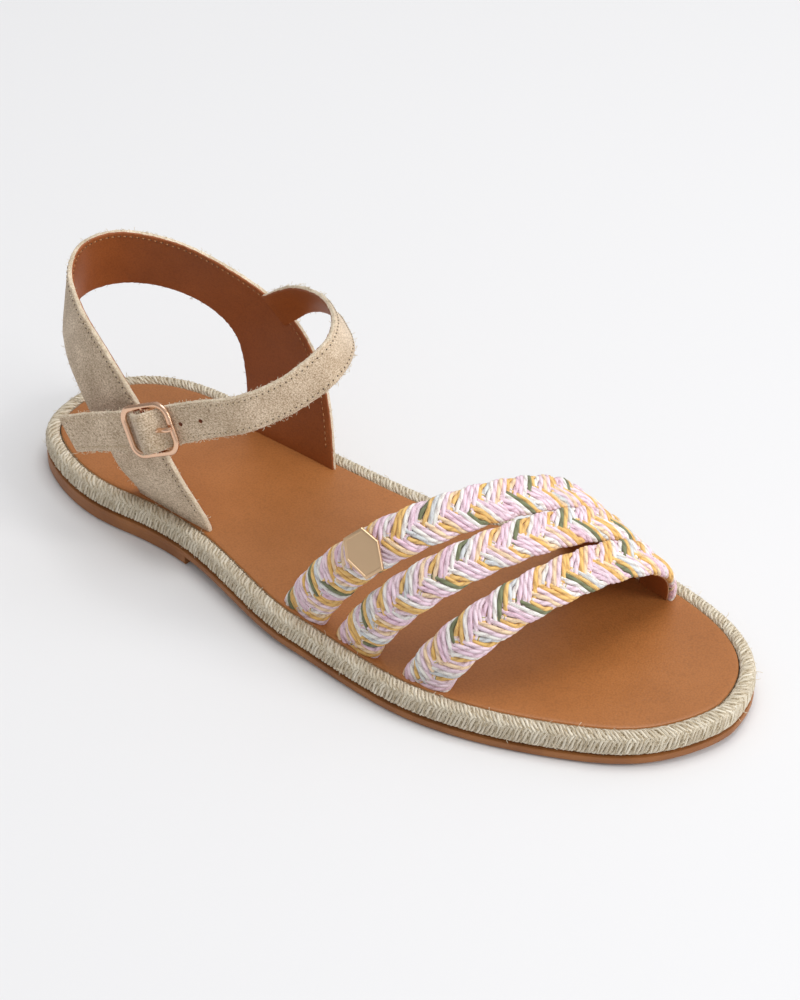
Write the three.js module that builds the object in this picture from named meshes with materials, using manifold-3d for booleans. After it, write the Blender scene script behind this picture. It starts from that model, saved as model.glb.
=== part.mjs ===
import * as THREE from 'three';
import { mergeVertices } from 'three/addons/utils/BufferGeometryUtils.js';
import Module from 'manifold-3d';

// A flat rope-edged sandal for the right foot, in millimetres.
// X runs from the heel to the toe, Y to the medial side of the foot, Z up from the floor.

// Sole sizes
const soleLength = 250;
const heelWidth = 63;
const ballWidth = 92;
const toeShift = 4;
const outsoleThickness = 2.5;
const heelLift = 2.6;
const toeSpring = 1.6;
const heelBreast = 0.3 * soleLength;
const liftEnd = 0.6 * soleLength;
const springStart = 0.78 * soleLength;
const randWidth = 5;
const randHeight = 7.2;
const ropePitch = 5;
const ropeRelief = 0.45;
const ropeSquareness = 0.6;
const footbedThickness = 6;
const footbedRound = 0.8;

// Upper sizes
const clearance = 0.3;
const vampThickness = 4.6;
const plaitPitch = 9.5;
const plaitRelief = 0.6;
const instepHeight = 52;
const instepFall = 0.53;
const instepFullness = 0.85;
const slingHeight = 75;
const slingThickness = 2.2;
const strapWidth = 12.5;
const strapThickness = 1.8;
const ankleHeight = 82;
const ankleReach = 115;
const strapEndDepth = 3.6;

// Buckle and badge sizes
const buckleLength = 19.2;
const buckleEase = 0.2;
const wireDiameter = 1.8;
const barDiameter = 1.6;
const tabThickness = 0.8;
const tabWidth = 8;
const tabLength = 14;
const prongThickness = 1.6;
const prongOverhang = 0.4;
const frameGap = 0.15;
const badgeLength = 13.5;
const badgeThickness = 0.9;

// Sections used by the lofts
const soleStations = 34;
const ropeSides = 8;
const bandStations = 44;
const plaitSteps = 4;
const riseSteps = 12;
const wireSides = 10;
const wireTurns = 8;
const cornerSteps = 4;

// Fullness of the outline from heel to toe, as shares of the local width
const OUTLINE = [
  { lateral: 1.26, medial: 1.14 },
  { lateral: 0.88, medial: 0.95 },
  { lateral: 0.7, medial: 0.72 },
  { lateral: 0.5, medial: 0.42 },
  { lateral: 0.495, medial: 0.315 },
  { lateral: 0.578, medial: 0.508 },
  { lateral: 0.588, medial: 0.588 },
  { lateral: 0.594, medial: 0.702 },
  { lateral: 0.41, medial: 0.84 },
];

// Vamp straps: the lateral end, the pull in the middle and the medial end of each edge,
// as shares of the sole's length. Neighbours part on the lateral side and meet on the medial side.
const VAMP_STRAPS = [
  { name: 'vamp_strap_rear', rear: [0.47, 0.768, 0.667], front: [0.53, 0.806, 0.721] },
  { name: 'vamp_strap_middle', rear: [0.554, 0.806, 0.721], front: [0.614, 0.832, 0.784] },
  { name: 'vamp_strap_front', rear: [0.658, 0.832, 0.784], front: [0.714, 0.872, 0.836] },
];

// Heel sling from the lateral seat round the heel to the medial seat: rear edge, front edge.
// Along is a share of the sole's length, side of the heel's half width, up of the sling's height.
const SLING = [
  { rear: { along: 0.186, side: -0.85, up: 0.3 }, front: { along: 0.293, side: -0.9, up: 0.4 } },
  { rear: { along: 0.16, side: -0.84, up: 0.42 }, front: { along: 0.23, side: -0.85, up: 0.645 } },
  { rear: { along: 0.112, side: -0.69, up: 0.525 }, front: { along: 0.163, side: -0.71, up: 0.797 } },
  { rear: { along: 0.065, side: -0.47, up: 0.605 }, front: { along: 0.097, side: -0.5, up: 0.885 } },
  { rear: { along: 0.031, side: -0.18, up: 0.663 }, front: { along: 0.049, side: -0.21, up: 0.94 } },
  { rear: { along: 0.023, side: 0.14, up: 0.7 }, front: { along: 0.035, side: 0.08, up: 0.98 } },
  { rear: { along: 0.045, side: 0.47, up: 0.715 }, front: { along: 0.053, side: 0.4, up: 0.995 } },
  { rear: { along: 0.09, side: 0.75, up: 0.695 }, front: { along: 0.107, side: 0.71, up: 0.96 } },
  { rear: { along: 0.142, side: 0.94, up: 0.627 }, front: { along: 0.183, side: 0.94, up: 0.862 } },
  { rear: { along: 0.179, side: 1.02, up: 0.512 }, front: { along: 0.273, side: 1.08, up: 0.685 } },
  { rear: { along: 0.2, side: 0.97, up: 0.333 }, front: { along: 0.331, side: 0.95, up: 0.463 } },
];
// Where the sling's two legs enter the seat, as shares of the sole's length
const SLING_SEAT = { lateral: { rear: 0.202, front: 0.323 }, medial: { rear: 0.222, front: 0.367 } };

// Middle line of the ankle strap from the medial leg of the sling to its free tip.
// Along is a share of the strap's reach, side of the heel's half width, up of its height.
const ANKLE = [
  { along: 0.42, side: 0.9, up: 0.56, lean: 3 },
  { along: 0.526, side: 0.91, up: 0.642, lean: 9 },
  { along: 0.64, side: 0.93, up: 0.762, lean: 31 },
  { along: 0.752, side: 0.792, up: 0.847, lean: 33.5 },
  { along: 0.859, side: 0.507, up: 0.92, lean: 28.5 },
  { along: 0.944, side: 0.189, up: 0.954, lean: 27 },
  { along: 0.982, side: -0.166, up: 0.951, lean: 18.5 },
  { along: 0.938, side: -0.536, up: 0.872, lean: 4.5 },
  { along: 0.847, side: -0.831, up: 0.79, lean: 0.5 },
  { along: 0.724, side: -0.982, up: 0.717, lean: 3.5 },
  { along: 0.604, side: -1.051, up: 0.627, lean: 9 },
  { along: 0.492, side: -1.095, up: 0.549, lean: 9 },
  { along: 0.387, side: -1.085, up: 0.477, lean: 5 },
  { along: 0.282, side: -1.061, up: 0.394, lean: -4 },
];
// Share of the ankle strap's length at which the buckle's centre bar lies
const buckleAt = 0.792;
// Share of the rear vamp strap's length at which the badge lies
const badgeAt = 0.178;

const wasm = await Module();
wasm.setup();

const materials = {
  rubber: new THREE.MeshStandardMaterial({ color: 0x8a552f, roughness: 0.6, metalness: 0 }),
  jute: new THREE.MeshStandardMaterial({ color: 0xc3b79c, roughness: 0.95, metalness: 0 }),
  leather: new THREE.MeshStandardMaterial({ color: 0xbc7f57, roughness: 0.5, metalness: 0 }),
  cotton: new THREE.MeshStandardMaterial({ color: 0xe6cfc4, roughness: 0.9, metalness: 0 }),
  suede: new THREE.MeshStandardMaterial({ color: 0xb09a80, roughness: 0.95, metalness: 0 }),
  metal: new THREE.MeshStandardMaterial({ color: 0xdcb394, roughness: 0.25, metalness: 1 }),
};

const smooth = (t) => t * t * (3 - 2 * t);
const clamp = (t) => Math.min(Math.max(t, 0), 1);
const vec = (x, y, z) => new THREE.Vector3(x, y, z);

// Geometry from points and triangles, with its faces turned outward
function geometryOf(points, triangles) {
  const geometry = new THREE.BufferGeometry();
  const numbers = points.flatMap((p) => [p.x, p.y, p.z]);
  geometry.setAttribute('position', new THREE.Float32BufferAttribute(numbers, 3));
  let volume = 0;
  for (const [a, b, c] of triangles) {
    volume += points[a].dot(points[b].clone().cross(points[c]));
  }
  geometry.setIndex(triangles.flatMap(([a, b, c]) => (volume > 0 ? [a, b, c] : [a, c, b])));
  return geometry;
}

function toManifold(geometry) {
  const bare = geometry.clone();
  bare.deleteAttribute('normal');
  bare.deleteAttribute('uv');
  const merged = mergeVertices(bare);
  return new wasm.Manifold(new wasm.Mesh({
    numProp: 3,
    vertProperties: new Float32Array(merged.attributes.position.array),
    triVerts: new Uint32Array(merged.index.array),
  }));
}

function fromManifold(solid) {
  const mesh = solid.getMesh();
  const geometry = new THREE.BufferGeometry();
  geometry.setAttribute('position', new THREE.BufferAttribute(mesh.vertProperties, mesh.numProp));
  geometry.setIndex(new THREE.BufferAttribute(mesh.triVerts, 1));
  return geometry;
}

function cut(geometry, ...tools) {
  return fromManifold(tools.reduce((solid, tool) => solid.subtract(toManifold(tool)), toManifold(geometry)));
}

function join(geometry, ...others) {
  return fromManifold(others.reduce((solid, other) => solid.add(toManifold(other)), toManifold(geometry)));
}

// Skins a row of sections, each a loop of the same number of points
function loft(sections, ringClosed = false) {
  const sides = sections[0].length;
  const triangles = [];
  const spans = ringClosed ? sections.length : sections.length - 1;
  for (let i = 0; i < spans; i += 1) {
    const next = (i + 1) % sections.length;
    for (let j = 0; j < sides; j += 1) {
      const k = (j + 1) % sides;
      const [a, b, c, d] = [i * sides + j, i * sides + k, next * sides + k, next * sides + j];
      triangles.push([a, b, c], [a, c, d]);
    }
  }
  if (!ringClosed) {
    const last = (sections.length - 1) * sides;
    for (let j = 1; j < sides - 1; j += 1) {
      triangles.push([0, j + 1, j], [last, last + j, last + j + 1]);
    }
  }
  return geometryOf(sections.flat(), triangles);
}

// Reads a table column as a smooth curve through its rows
function columnCurve(values) {
  const curve = new THREE.CatmullRomCurve3(values.map((v, i) => vec(i, v, 0)), false, 'catmullrom', 0.5);
  return (share) => curve.getPoint(clamp(share)).y;
}

// Outline of the sole
const lateralFullness = columnCurve(OUTLINE.map((row) => row.lateral));
const medialFullness = columnCurve(OUTLINE.map((row) => row.medial));
const localWidth = (along) => THREE.MathUtils.lerp(heelWidth, ballWidth, smooth(clamp((along - 0.2) / 0.3)));

// A point of the outline: turn runs from 0 at the heel to 1 at the toe, side is -1 or 1
function outlinePoint(turn, side) {
  const along = (1 - Math.cos(Math.PI * turn)) / 2;
  const fullness = side < 0 ? lateralFullness(turn) : medialFullness(turn);
  const reach = Math.sin(Math.PI * turn) * fullness * localWidth(along);
  return new THREE.Vector2(along * soleLength, toeShift * along + side * reach);
}

// Loop of the outline moved inward, from the heel along the lateral side to the toe and back
function outlineLoop(inset, stations = soleStations) {
  const loop = [];
  for (let i = 0; i < 2 * stations; i += 1) {
    const side = i < stations ? -1 : 1;
    const turn = side < 0 ? i / stations : 2 - i / stations;
    const step = 0.5 / stations;
    const before = turn - step < 0 ? outlinePoint(step - turn, -side) : outlinePoint(turn - step, side);
    const after = turn + step > 1 ? outlinePoint(2 - turn - step, -side) : outlinePoint(turn + step, side);
    const tangent = after.sub(before).normalize();
    const inward = new THREE.Vector2(-tangent.y, tangent.x).multiplyScalar(-side);
    loop.push(outlinePoint(turn, side).addScaledVector(inward, inset));
  }
  return loop;
}

const sideAt = (loop, x, side) => {
  const half = loop.length / 2;
  const row = side < 0 ? loop.slice(0, half + 1) : [loop[0], ...loop.slice(half).reverse()];
  const i = Math.max(1, row.findIndex((p) => p.x >= x));
  const share = (x - row[i - 1].x) / (row[i].x - row[i - 1].x);
  return THREE.MathUtils.lerp(row[i - 1].y, row[i].y, share);
};

// Heights along the sole
const seatRise = (x) => heelLift * smooth(clamp((liftEnd - x) / (liftEnd - heelBreast)));
const springRise = (x) => toeSpring * clamp((x - springStart) / (soleLength - springStart)) ** 2;
const outsoleBottom = (x) => seatRise(x) + springRise(x);
const outsoleTop = (x) => outsoleBottom(x) + outsoleThickness;
const footbedBottom = (x) => outsoleTop(x) + clearance;
const footbedTop = (x) => footbedBottom(x) + footbedThickness;

// A plate of the sole: rings of the outline from the bottom up, each with its inset and height
function plate(rings) {
  const loops = rings.map(({ inset, height }) => outlineLoop(inset).map((p) => vec(p.x, p.y, height(p.x))));
  const count = loops[0].length;
  const triangles = [];
  for (let i = 0; i < loops.length - 1; i += 1) {
    for (let j = 0; j < count; j += 1) {
      const k = (j + 1) % count;
      triangles.push([i * count + j, i * count + k, (i + 1) * count + k]);
      triangles.push([i * count + j, (i + 1) * count + k, (i + 1) * count + j]);
    }
  }
  const top = (loops.length - 1) * count;
  for (let j = 0; j < count / 2; j += 1) {
    const other = (count - j) % count;
    const [a, b, c, d] = [j, j + 1, count - j - 1, other];
    if (b !== c) {
      triangles.push([a, c, b], [top + a, top + b, top + c]);
    }
    if (a !== d) {
      triangles.push([a, d, c], [top + a, top + c, top + d]);
    }
  }
  return geometryOf(loops.flat(), triangles);
}

// Outsole: a thin plate that follows the last, with the heel lift under the seat
function makeOutsole() {
  const shell = plate([{ inset: 0, height: outsoleBottom }, { inset: 0, height: outsoleTop }]);
  const middleOfShell = (x) => outsoleBottom(x) + outsoleThickness / 2;
  const lift = plate([{ inset: 0, height: () => 0 }, { inset: 0, height: middleOfShell }]);
  const frontPart = new THREE.BoxGeometry(soleLength, 2 * ballWidth, 4 * heelLift);
  frontPart.translate(heelBreast + soleLength / 2, 0, 0);
  return join(shell, cut(lift, frontPart));
}

// Turns a circle's coordinate into that of a rounded square
const squared = (value) => Math.sign(value) * Math.abs(value) ** ropeSquareness;

// Rope rand: a plaited braid laid round the edge of the outsole
function makeRand() {
  const dense = outlineLoop(randWidth / 2, 12 * soleStations);
  const path = new THREE.CatmullRomCurve3(dense.map((p) => vec(p.x, p.y, 0)), true);
  path.arcLengthDivisions = 4 * dense.length;
  const strands = Math.round(path.getLength() / ropePitch);
  const steps = 2 * strands;
  const sections = [];
  for (let i = 0; i < steps; i += 1) {
    const point = path.getPointAt(i / steps);
    const tangent = path.getTangentAt(i / steps);
    const outward = vec(tangent.y, -tangent.x, 0);
    const middle = outsoleTop(point.x) + clearance + randHeight / 2;
    const section = [];
    for (let j = 0; j < ropeSides; j += 1) {
      const angle = (2 * Math.PI * (j + 0.5)) / ropeSides;
      const upper = Math.sin(angle) > 0;
      const raised = (i % 2 === 0) === upper;
      const dent = raised ? 0 : ropeRelief;
      const across = squared(Math.cos(angle)) * (randWidth / 2 - dent);
      const up = squared(Math.sin(angle)) * (randHeight / 2 - dent);
      section.push(point.clone().addScaledVector(outward, across).setZ(middle + up));
    }
    sections.push(section);
  }
  return loft(sections, true);
}

// Surface over the toes on which the vamp straps lie: across runs from -1, lateral, to 1, medial
const strapSeat = outlineLoop(randWidth + clearance + vampThickness / 2, 4 * soleStations);
function instep(x, across) {
  const lateral = sideAt(strapSeat, x, -1);
  const medial = sideAt(strapSeat, x, 1);
  const angle = (across * Math.PI) / 2;
  const base = footbedTop(x) - 1;
  const crown = instepHeight - instepFall * (x - 0.7 * soleLength) - base;
  const y = (lateral + medial) / 2 + ((medial - lateral) / 2) * Math.sin(angle);
  return vec(x, y, base + crown * Math.abs(Math.cos(angle)) ** instepFullness);
}

// Share of the sole's length at t along a strap's edge, which is pulled toward its middle value
const bend = ([a, b, c], t) => a * (1 - t) ** 2 + 2 * b * t * (1 - t) + c * t ** 2;

// Point of a vamp strap's middle surface: t along the strap, w from -1, rear, to 1, front
function vampPoint(row, t, w) {
  const rear = bend(row.rear, t) * soleLength + clearance;
  const front = bend(row.front, t) * soleLength - clearance;
  return instep(THREE.MathUtils.lerp(rear, front, (w + 1) / 2), 2 * t - 1);
}

function vampFrame(row, t) {
  const step = 0.004;
  const after = vampPoint(row, Math.min(t + step, 1), 0);
  const before = vampPoint(row, Math.max(t - step, 0), 0);
  const tangent = after.sub(before).normalize();
  const across = vampPoint(row, t, 1).sub(vampPoint(row, t, -1));
  across.addScaledVector(tangent, -across.dot(tangent));
  const halfWidth = across.length() / 2;
  across.normalize();
  const centre = vampPoint(row, t, 0);
  const normal = across.clone().cross(tangent).normalize();
  const outward = vec(0, centre.y - toeShift / 2, centre.z);
  normal.multiplyScalar(Math.sign(normal.dot(outward)));
  return { centre, tangent, across, normal, halfWidth };
}

// Section of a plaited strap: a flat lining below and two rows of raised legs above
function plaitSection({ centre, across, normal, halfWidth }, phase) {
  const bottom = -vampThickness / 2;
  const profile = [[-0.86, bottom], [0, bottom], [0.86, bottom]];
  for (const w of [1, 0.8, 0.42, 0, -0.42, -0.8, -1]) {
    const leg = 0.5 + 0.5 * Math.cos(2 * Math.PI * (phase + 0.5 * Math.abs(w) + (w > 0 ? 0.5 : 0)));
    const arch = Math.abs(w) === 1 ? -0.1 : Math.sqrt(1 - 0.75 * w * w) - 0.5;
    const valley = w === 0 ? 1 : 1 - leg;
    profile.push([w, arch * vampThickness - plaitRelief * valley]);
  }
  return profile.map(([w, n]) => centre.clone()
    .addScaledVector(across, w * halfWidth).addScaledVector(normal, n));
}

// Frame of a strap's sunk end, straight below its edge of the footbed
function sunkFrame(row, t, depth) {
  const { centre, across, normal, halfWidth } = vampFrame(row, t);
  const level = normal.clone().setZ(0).normalize();
  const along = vec(-level.y, level.x, 0);
  along.multiplyScalar(Math.sign(along.dot(across)));
  return { centre: centre.clone().setZ(centre.z - depth), across: along, normal: level, halfWidth };
}

// Number of sections along a vamp strap, a few for each pitch of the plait
function vampSteps(row) {
  const points = Array.from({ length: 51 }, (_, i) => vampPoint(row, i / 50, 0));
  const length = points.slice(1).reduce((sum, point, i) => sum + point.distanceTo(points[i]), 0);
  return Math.round(length / plaitPitch) * plaitSteps;
}

function makeVampStrap(row) {
  const steps = vampSteps(row);
  const sections = [plaitSection(sunkFrame(row, 0, strapEndDepth), 0)];
  for (let i = 0; i <= steps; i += 1) {
    sections.push(plaitSection(vampFrame(row, i / steps), i / plaitSteps));
  }
  sections.push(plaitSection(sunkFrame(row, 1, strapEndDepth), 0));
  return loft(sections);
}

// Room for one end of a vamp strap in the footbed
function vampPocket(row, end) {
  const depths = [strapEndDepth + footbedThickness, strapEndDepth];
  const rises = [0, 1, 2, 3].map((step) => vampFrame(row, Math.abs(end - step / vampSteps(row))));
  const frames = [...depths.map((depth) => sunkFrame(row, end, depth)), ...rises];
  return loft(frames.map((frame) => bandSection(frame, vampThickness, 2.5 * clearance, footbedRound)));
}

// Footbed: a leather-covered insole let into the rand, notched for the straps
function makeFootbed() {
  const inset = randWidth + clearance;
  const board = plate([
    { inset, height: footbedBottom },
    { inset, height: (x) => footbedTop(x) - footbedRound },
    { inset: inset + 0.3 * footbedRound, height: (x) => footbedTop(x) - 0.3 * footbedRound },
    { inset: inset + footbedRound, height: footbedTop },
  ]);
  const pockets = VAMP_STRAPS.flatMap((row) => [vampPocket(row, 0), vampPocket(row, 1)]);
  return cut(board, ...pockets, slingPocket(0), slingPocket(1));
}

// Heel sling: a flat band between its rear and its front edge
const halfHeel = heelWidth / 2;
const slingSeat = outlineLoop(randWidth + 4 * clearance + slingThickness / 2, 4 * soleStations);

function slingSeatPoint(seat, side, edge, height) {
  const x = seat[edge] * soleLength;
  return vec(x, sideAt(slingSeat, x, side), footbedTop(x) + height);
}

function slingEdge(edge) {
  const { lateral, medial } = SLING_SEAT;
  const rim = 0.5 * strapEndDepth;
  const rows = SLING.map((row) => row[edge]);
  return new THREE.CatmullRomCurve3([
    slingSeatPoint(lateral, -1, edge, -strapEndDepth),
    slingSeatPoint(lateral, -1, edge, rim),
    ...rows.map(({ along, side, up }) => vec(along * soleLength, side * halfHeel, up * slingHeight)),
    slingSeatPoint(medial, 1, edge, rim),
    slingSeatPoint(medial, 1, edge, -strapEndDepth),
  ]);
}
const slingRear = slingEdge('rear');
const slingFront = slingEdge('front');

// Point and directions of the sling's middle surface: t along the band
function slingFrame(t) {
  const middle = (s) => slingRear.getPoint(s).add(slingFront.getPoint(s)).multiplyScalar(0.5);
  const step = 0.002;
  const tangent = middle(Math.min(t + step, 1)).sub(middle(Math.max(t - step, 0))).normalize();
  const across = slingFront.getPoint(t).sub(slingRear.getPoint(t));
  const halfWidth = across.length() / 2;
  across.normalize();
  const normal = across.clone().cross(tangent).normalize();
  return { centre: middle(t), tangent, across, normal, halfWidth };
}

// Section of a flat leather band, with a middle point on each face, or of the room for it,
// which grows all round and reaches further on the outer side
function bandSection({ centre, across, normal, halfWidth }, thickness, grow = 0, reach = 0) {
  const [w, n] = [halfWidth + grow, thickness / 2 + grow];
  const profile = [[-w, -n], [0, -n], [w, -n], [w, n + reach], [0, n + reach], [-w, n + reach]];
  return profile.map(([u, v]) => centre.clone().addScaledVector(across, u).addScaledVector(normal, v));
}

function makeSling() {
  const sections = [];
  for (let i = 0; i <= bandStations; i += 1) {
    sections.push(bandSection(slingFrame(i / bandStations), slingThickness));
  }
  return loft(sections);
}

// Room for one leg of the sling in the footbed
function slingPocket(end) {
  const frames = [0, 0.5, 1].map((share) => slingFrame(Math.abs(end - share / (SLING.length + 3))));
  const deep = { ...frames[0], centre: frames[0].centre.clone().setZ(frames[0].centre.z - footbedThickness) };
  return loft([deep, ...frames].map((frame) => bandSection(frame, slingThickness, clearance, 6 * clearance)));
}

// Ankle strap: a flat strap along its middle line, which rises over the buckle's centre bar
const ankleLine = new THREE.CatmullRomCurve3(ANKLE.map(({ along, side, up }) => (
  vec(along * ankleReach, side * halfHeel, up * ankleHeight))));
const ankleLean = columnCurve(ANKLE.map((row) => row.lean));
const ankleLength = ankleLine.getLength();
const ankleAxis = vec(0.25 * soleLength, 0, 0);

function ankleFrame(share) {
  const centre = ankleLine.getPointAt(clamp(share));
  const tangent = ankleLine.getTangentAt(clamp(share));
  const outward = centre.clone().sub(ankleAxis).setZ(0);
  outward.addScaledVector(tangent, -outward.dot(tangent)).normalize();
  const lift = vec(0, 0, 1).addScaledVector(tangent, -tangent.z);
  outward.addScaledVector(lift, -outward.dot(lift) / lift.lengthSq()).normalize();
  const lean = THREE.MathUtils.degToRad(ankleLean(ankleLine.getUtoTmapping(clamp(share))));
  const across = lift.normalize().multiplyScalar(Math.cos(lean)).addScaledVector(outward, -Math.sin(lean));
  const normal = outward.addScaledVector(across, -outward.dot(across)).normalize();
  return { centre, tangent, across, normal, halfWidth: strapWidth / 2 };
}

// Heights over the strap's own line, inward to outward: the frame and the strap over its bar
const frameHeight = strapThickness / 2 + clearance + wireDiameter / 2 + frameGap;
const loopRadius = barDiameter / 2 + clearance + tabThickness;
const strapRise = frameHeight + loopRadius + clearance + strapThickness / 2;
const riseHalf = (buckleLength - wireDiameter) / 2 - clearance;

function strapFrame(share) {
  const frame = ankleFrame(share);
  const distance = (share - buckleAt) * ankleLength;
  if (Math.abs(distance) < riseHalf) {
    const rise = strapRise * Math.cos((Math.PI * distance) / (2 * riseHalf)) ** 2;
    frame.centre.addScaledVector(frame.normal, rise);
  }
  return frame;
}

function makeAnkleStrap() {
  const near = riseHalf / ankleLength;
  const shares = [];
  for (let i = 0; i <= bandStations; i += 1) {
    const share = i / bandStations;
    if (Math.abs(share - buckleAt) > near) {
      shares.push(share);
    }
  }
  const crossing = [];
  for (let i = 0; i <= riseSteps; i += 1) {
    crossing.push(buckleAt + ((2 * i) / riseSteps - 1) * near);
  }
  const ordered = [...shares, ...crossing].sort((a, b) => a - b);
  const strap = loft(ordered.map((share) => bandSection(strapFrame(share), strapThickness)));
  return cut(strap, makeProng(clearance));
}

// Places a piece that is drawn in the buckle's own axes: x to the front of the strap,
// y up across it, z outward, with the centre bar at the origin
const buckleFrame = ankleFrame(buckleAt);
const buckleMatrix = new THREE.Matrix4()
  .makeBasis(buckleFrame.tangent.clone().negate(), buckleFrame.across, buckleFrame.normal)
  .setPosition(buckleFrame.centre.clone().addScaledVector(buckleFrame.normal, frameHeight));
const buckleWidth = strapWidth + 2 * clearance + 2 * wireDiameter + buckleEase;

function makeBuckleFrame() {
  const corner = 0.22 * buckleWidth;
  const [hx, hy] = [(buckleLength - wireDiameter) / 2, (buckleWidth - wireDiameter) / 2];
  const sections = [];
  for (const [sx, sy, from] of [[1, 1, 0], [-1, 1, 1], [-1, -1, 2], [1, -1, 3]]) {
    for (let i = 0; i <= cornerSteps; i += 1) {
      const angle = ((from + i / cornerSteps) * Math.PI) / 2;
      const outward = vec(Math.cos(angle), Math.sin(angle), 0);
      const centre = vec(sx * (hx - corner), sy * (hy - corner), 0).addScaledVector(outward, corner);
      sections.push(Array.from({ length: wireTurns }, (_, j) => {
        const turn = (2 * Math.PI * j) / wireTurns;
        return centre.clone().addScaledVector(outward, (Math.cos(turn) * wireDiameter) / 2)
          .setZ((Math.sin(turn) * wireDiameter) / 2);
      }));
    }
  }
  const bar = new THREE.CylinderGeometry(barDiameter / 2, barDiameter / 2, 2 * hy, wireSides);
  return join(loft(sections, true), bar).applyMatrix4(buckleMatrix);
}

// Prong: a ring round the centre bar and an arm that rests on the front bar
function makeProng(grow = 0) {
  const inner = barDiameter / 2 + clearance - grow;
  const outer = loopRadius + grow;
  const reach = buckleLength / 2 + prongOverhang + grow;
  const rest = wireDiameter / 2 + clearance - grow;
  const thick = prongThickness + 2 * grow;
  const front = buckleLength / 2 - wireDiameter;
  const shape = new THREE.Shape();
  shape.absarc(0, 0, outer, Math.PI / 2, 2 * Math.PI + 0.2, false);
  shape.lineTo(front, rest);
  shape.lineTo(reach, rest);
  shape.lineTo(reach, rest + thick);
  shape.lineTo(front, rest + thick);
  shape.closePath();
  if (grow === 0) {
    const eye = new THREE.Path();
    eye.absarc(0, 0, inner, 0, 2 * Math.PI, true);
    shape.holes.push(eye);
  }
  return crossExtrude(shape, prongThickness + 2 * grow).applyMatrix4(buckleMatrix);
}

// Extrudes a profile drawn along and out of the strap by a width across it
function crossExtrude(shape, width) {
  const settings = { depth: width, bevelEnabled: false, curveSegments: wireSides };
  const geometry = new THREE.ExtrudeGeometry(shape, settings);
  geometry.translate(0, 0, -width / 2);
  return geometry.rotateX(Math.PI / 2);
}

// Tab: a strip of leather that loops round the centre bar and runs back under the strap
function makeBuckleTab() {
  const tail = frameHeight + strapThickness / 2 + 2 * clearance;
  const shape = new THREE.Shape();
  shape.absarc(0, 0, loopRadius, -Math.PI / 2, Math.PI - 0.5, false);
  shape.lineTo(-loopRadius, -0.6 * loopRadius);
  shape.lineTo(-0.45 * tabLength, -tail);
  shape.lineTo(-tabLength, -tail);
  shape.lineTo(-tabLength, -tail - tabThickness);
  shape.lineTo(-0.4 * tabLength, -tail - tabThickness);
  shape.closePath();
  const eye = new THREE.Path();
  eye.absarc(0, 0, barDiameter / 2 + clearance, 0, 2 * Math.PI, true);
  shape.holes.push(eye);
  const slotWidth = prongThickness + 2 * clearance;
  const slot = new THREE.BoxGeometry(2 * (loopRadius + clearance), slotWidth, 4 * loopRadius);
  return cut(crossExtrude(shape, tabWidth), slot).applyMatrix4(buckleMatrix);
}

// Badge: a bare six-sided plate that lies on the rear vamp strap
function makeBadge() {
  const frame = vampFrame(VAMP_STRAPS[0], badgeAt);
  const half = badgeLength / 2;
  const corners = [[-0.55, 1], [0.55, 1], [0.95, 0.15], [0.5, -1], [-0.5, -1], [-0.95, 0.15]];
  const shape = new THREE.Shape(corners.map(([x, y]) => new THREE.Vector2(x * half, y * half)));
  const geometry = new THREE.ExtrudeGeometry(shape, { depth: badgeThickness, bevelEnabled: false });
  const matrix = new THREE.Matrix4().makeBasis(frame.tangent, frame.across.clone().negate(), frame.normal)
    .setPosition(frame.centre.clone().addScaledVector(frame.normal, 0.45 * vampThickness + clearance));
  return geometry.applyMatrix4(matrix);
}

const group = new THREE.Group();
function add(name, geometry, material) {
  const mesh = new THREE.Mesh(geometry, material);
  mesh.name = name;
  group.add(mesh);
  return mesh;
}

add('outsole', makeOutsole(), materials.rubber);
add('rope_rand', makeRand(), materials.jute);
add('footbed', makeFootbed(), materials.leather);
for (const row of VAMP_STRAPS) {
  add(row.name, makeVampStrap(row), materials.cotton);
}
add('heel_sling', makeSling(), materials.suede);
add('ankle_strap', makeAnkleStrap(), materials.suede);
add('buckle_tab', makeBuckleTab(), materials.suede);
add('buckle_frame', makeBuckleFrame(), materials.metal);
add('buckle_prong', makeProng(), materials.metal);
add('badge_plate', makeBadge(), materials.metal);

// The origin is below the middle of the sandal, on the floor
const box = new THREE.Box3().setFromObject(group);
const middle = box.getCenter(vec(0, 0, 0));
group.position.set(-middle.x, -middle.y, -box.min.z);

export default group;
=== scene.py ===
# %% [markdown]
# # A rope sandal, dressed in cells
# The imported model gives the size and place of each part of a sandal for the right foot. These cells
# build what the eye meets on it: a rubber outsole, a plaited jute edge, a leather footbed, three
# straps of plaited cotton cord, a suede heel sling and an ankle strap with its buckle.
# Shapes are worked out in millimetres from the back of the heel, and are moved to the model's own
# frame, in metres, when a mesh is made.

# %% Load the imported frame
import math

import bmesh
import bpy
import numpy as np
from mathutils import Matrix, Vector


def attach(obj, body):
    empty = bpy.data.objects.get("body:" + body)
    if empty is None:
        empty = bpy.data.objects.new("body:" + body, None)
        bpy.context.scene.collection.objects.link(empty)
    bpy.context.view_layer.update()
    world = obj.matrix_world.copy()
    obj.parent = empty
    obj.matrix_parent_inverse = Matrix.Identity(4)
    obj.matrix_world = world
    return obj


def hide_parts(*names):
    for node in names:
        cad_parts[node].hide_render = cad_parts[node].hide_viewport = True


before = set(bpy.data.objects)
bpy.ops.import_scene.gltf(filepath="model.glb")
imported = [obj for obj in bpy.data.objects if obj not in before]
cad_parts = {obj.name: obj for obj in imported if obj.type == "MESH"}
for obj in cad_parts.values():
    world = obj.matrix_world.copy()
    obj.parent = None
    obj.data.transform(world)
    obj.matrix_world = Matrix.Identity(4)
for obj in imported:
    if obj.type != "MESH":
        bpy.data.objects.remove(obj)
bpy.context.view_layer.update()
MM = 0.001
HEEL = np.array([-125.0, 0.131, 0.0])
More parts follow.
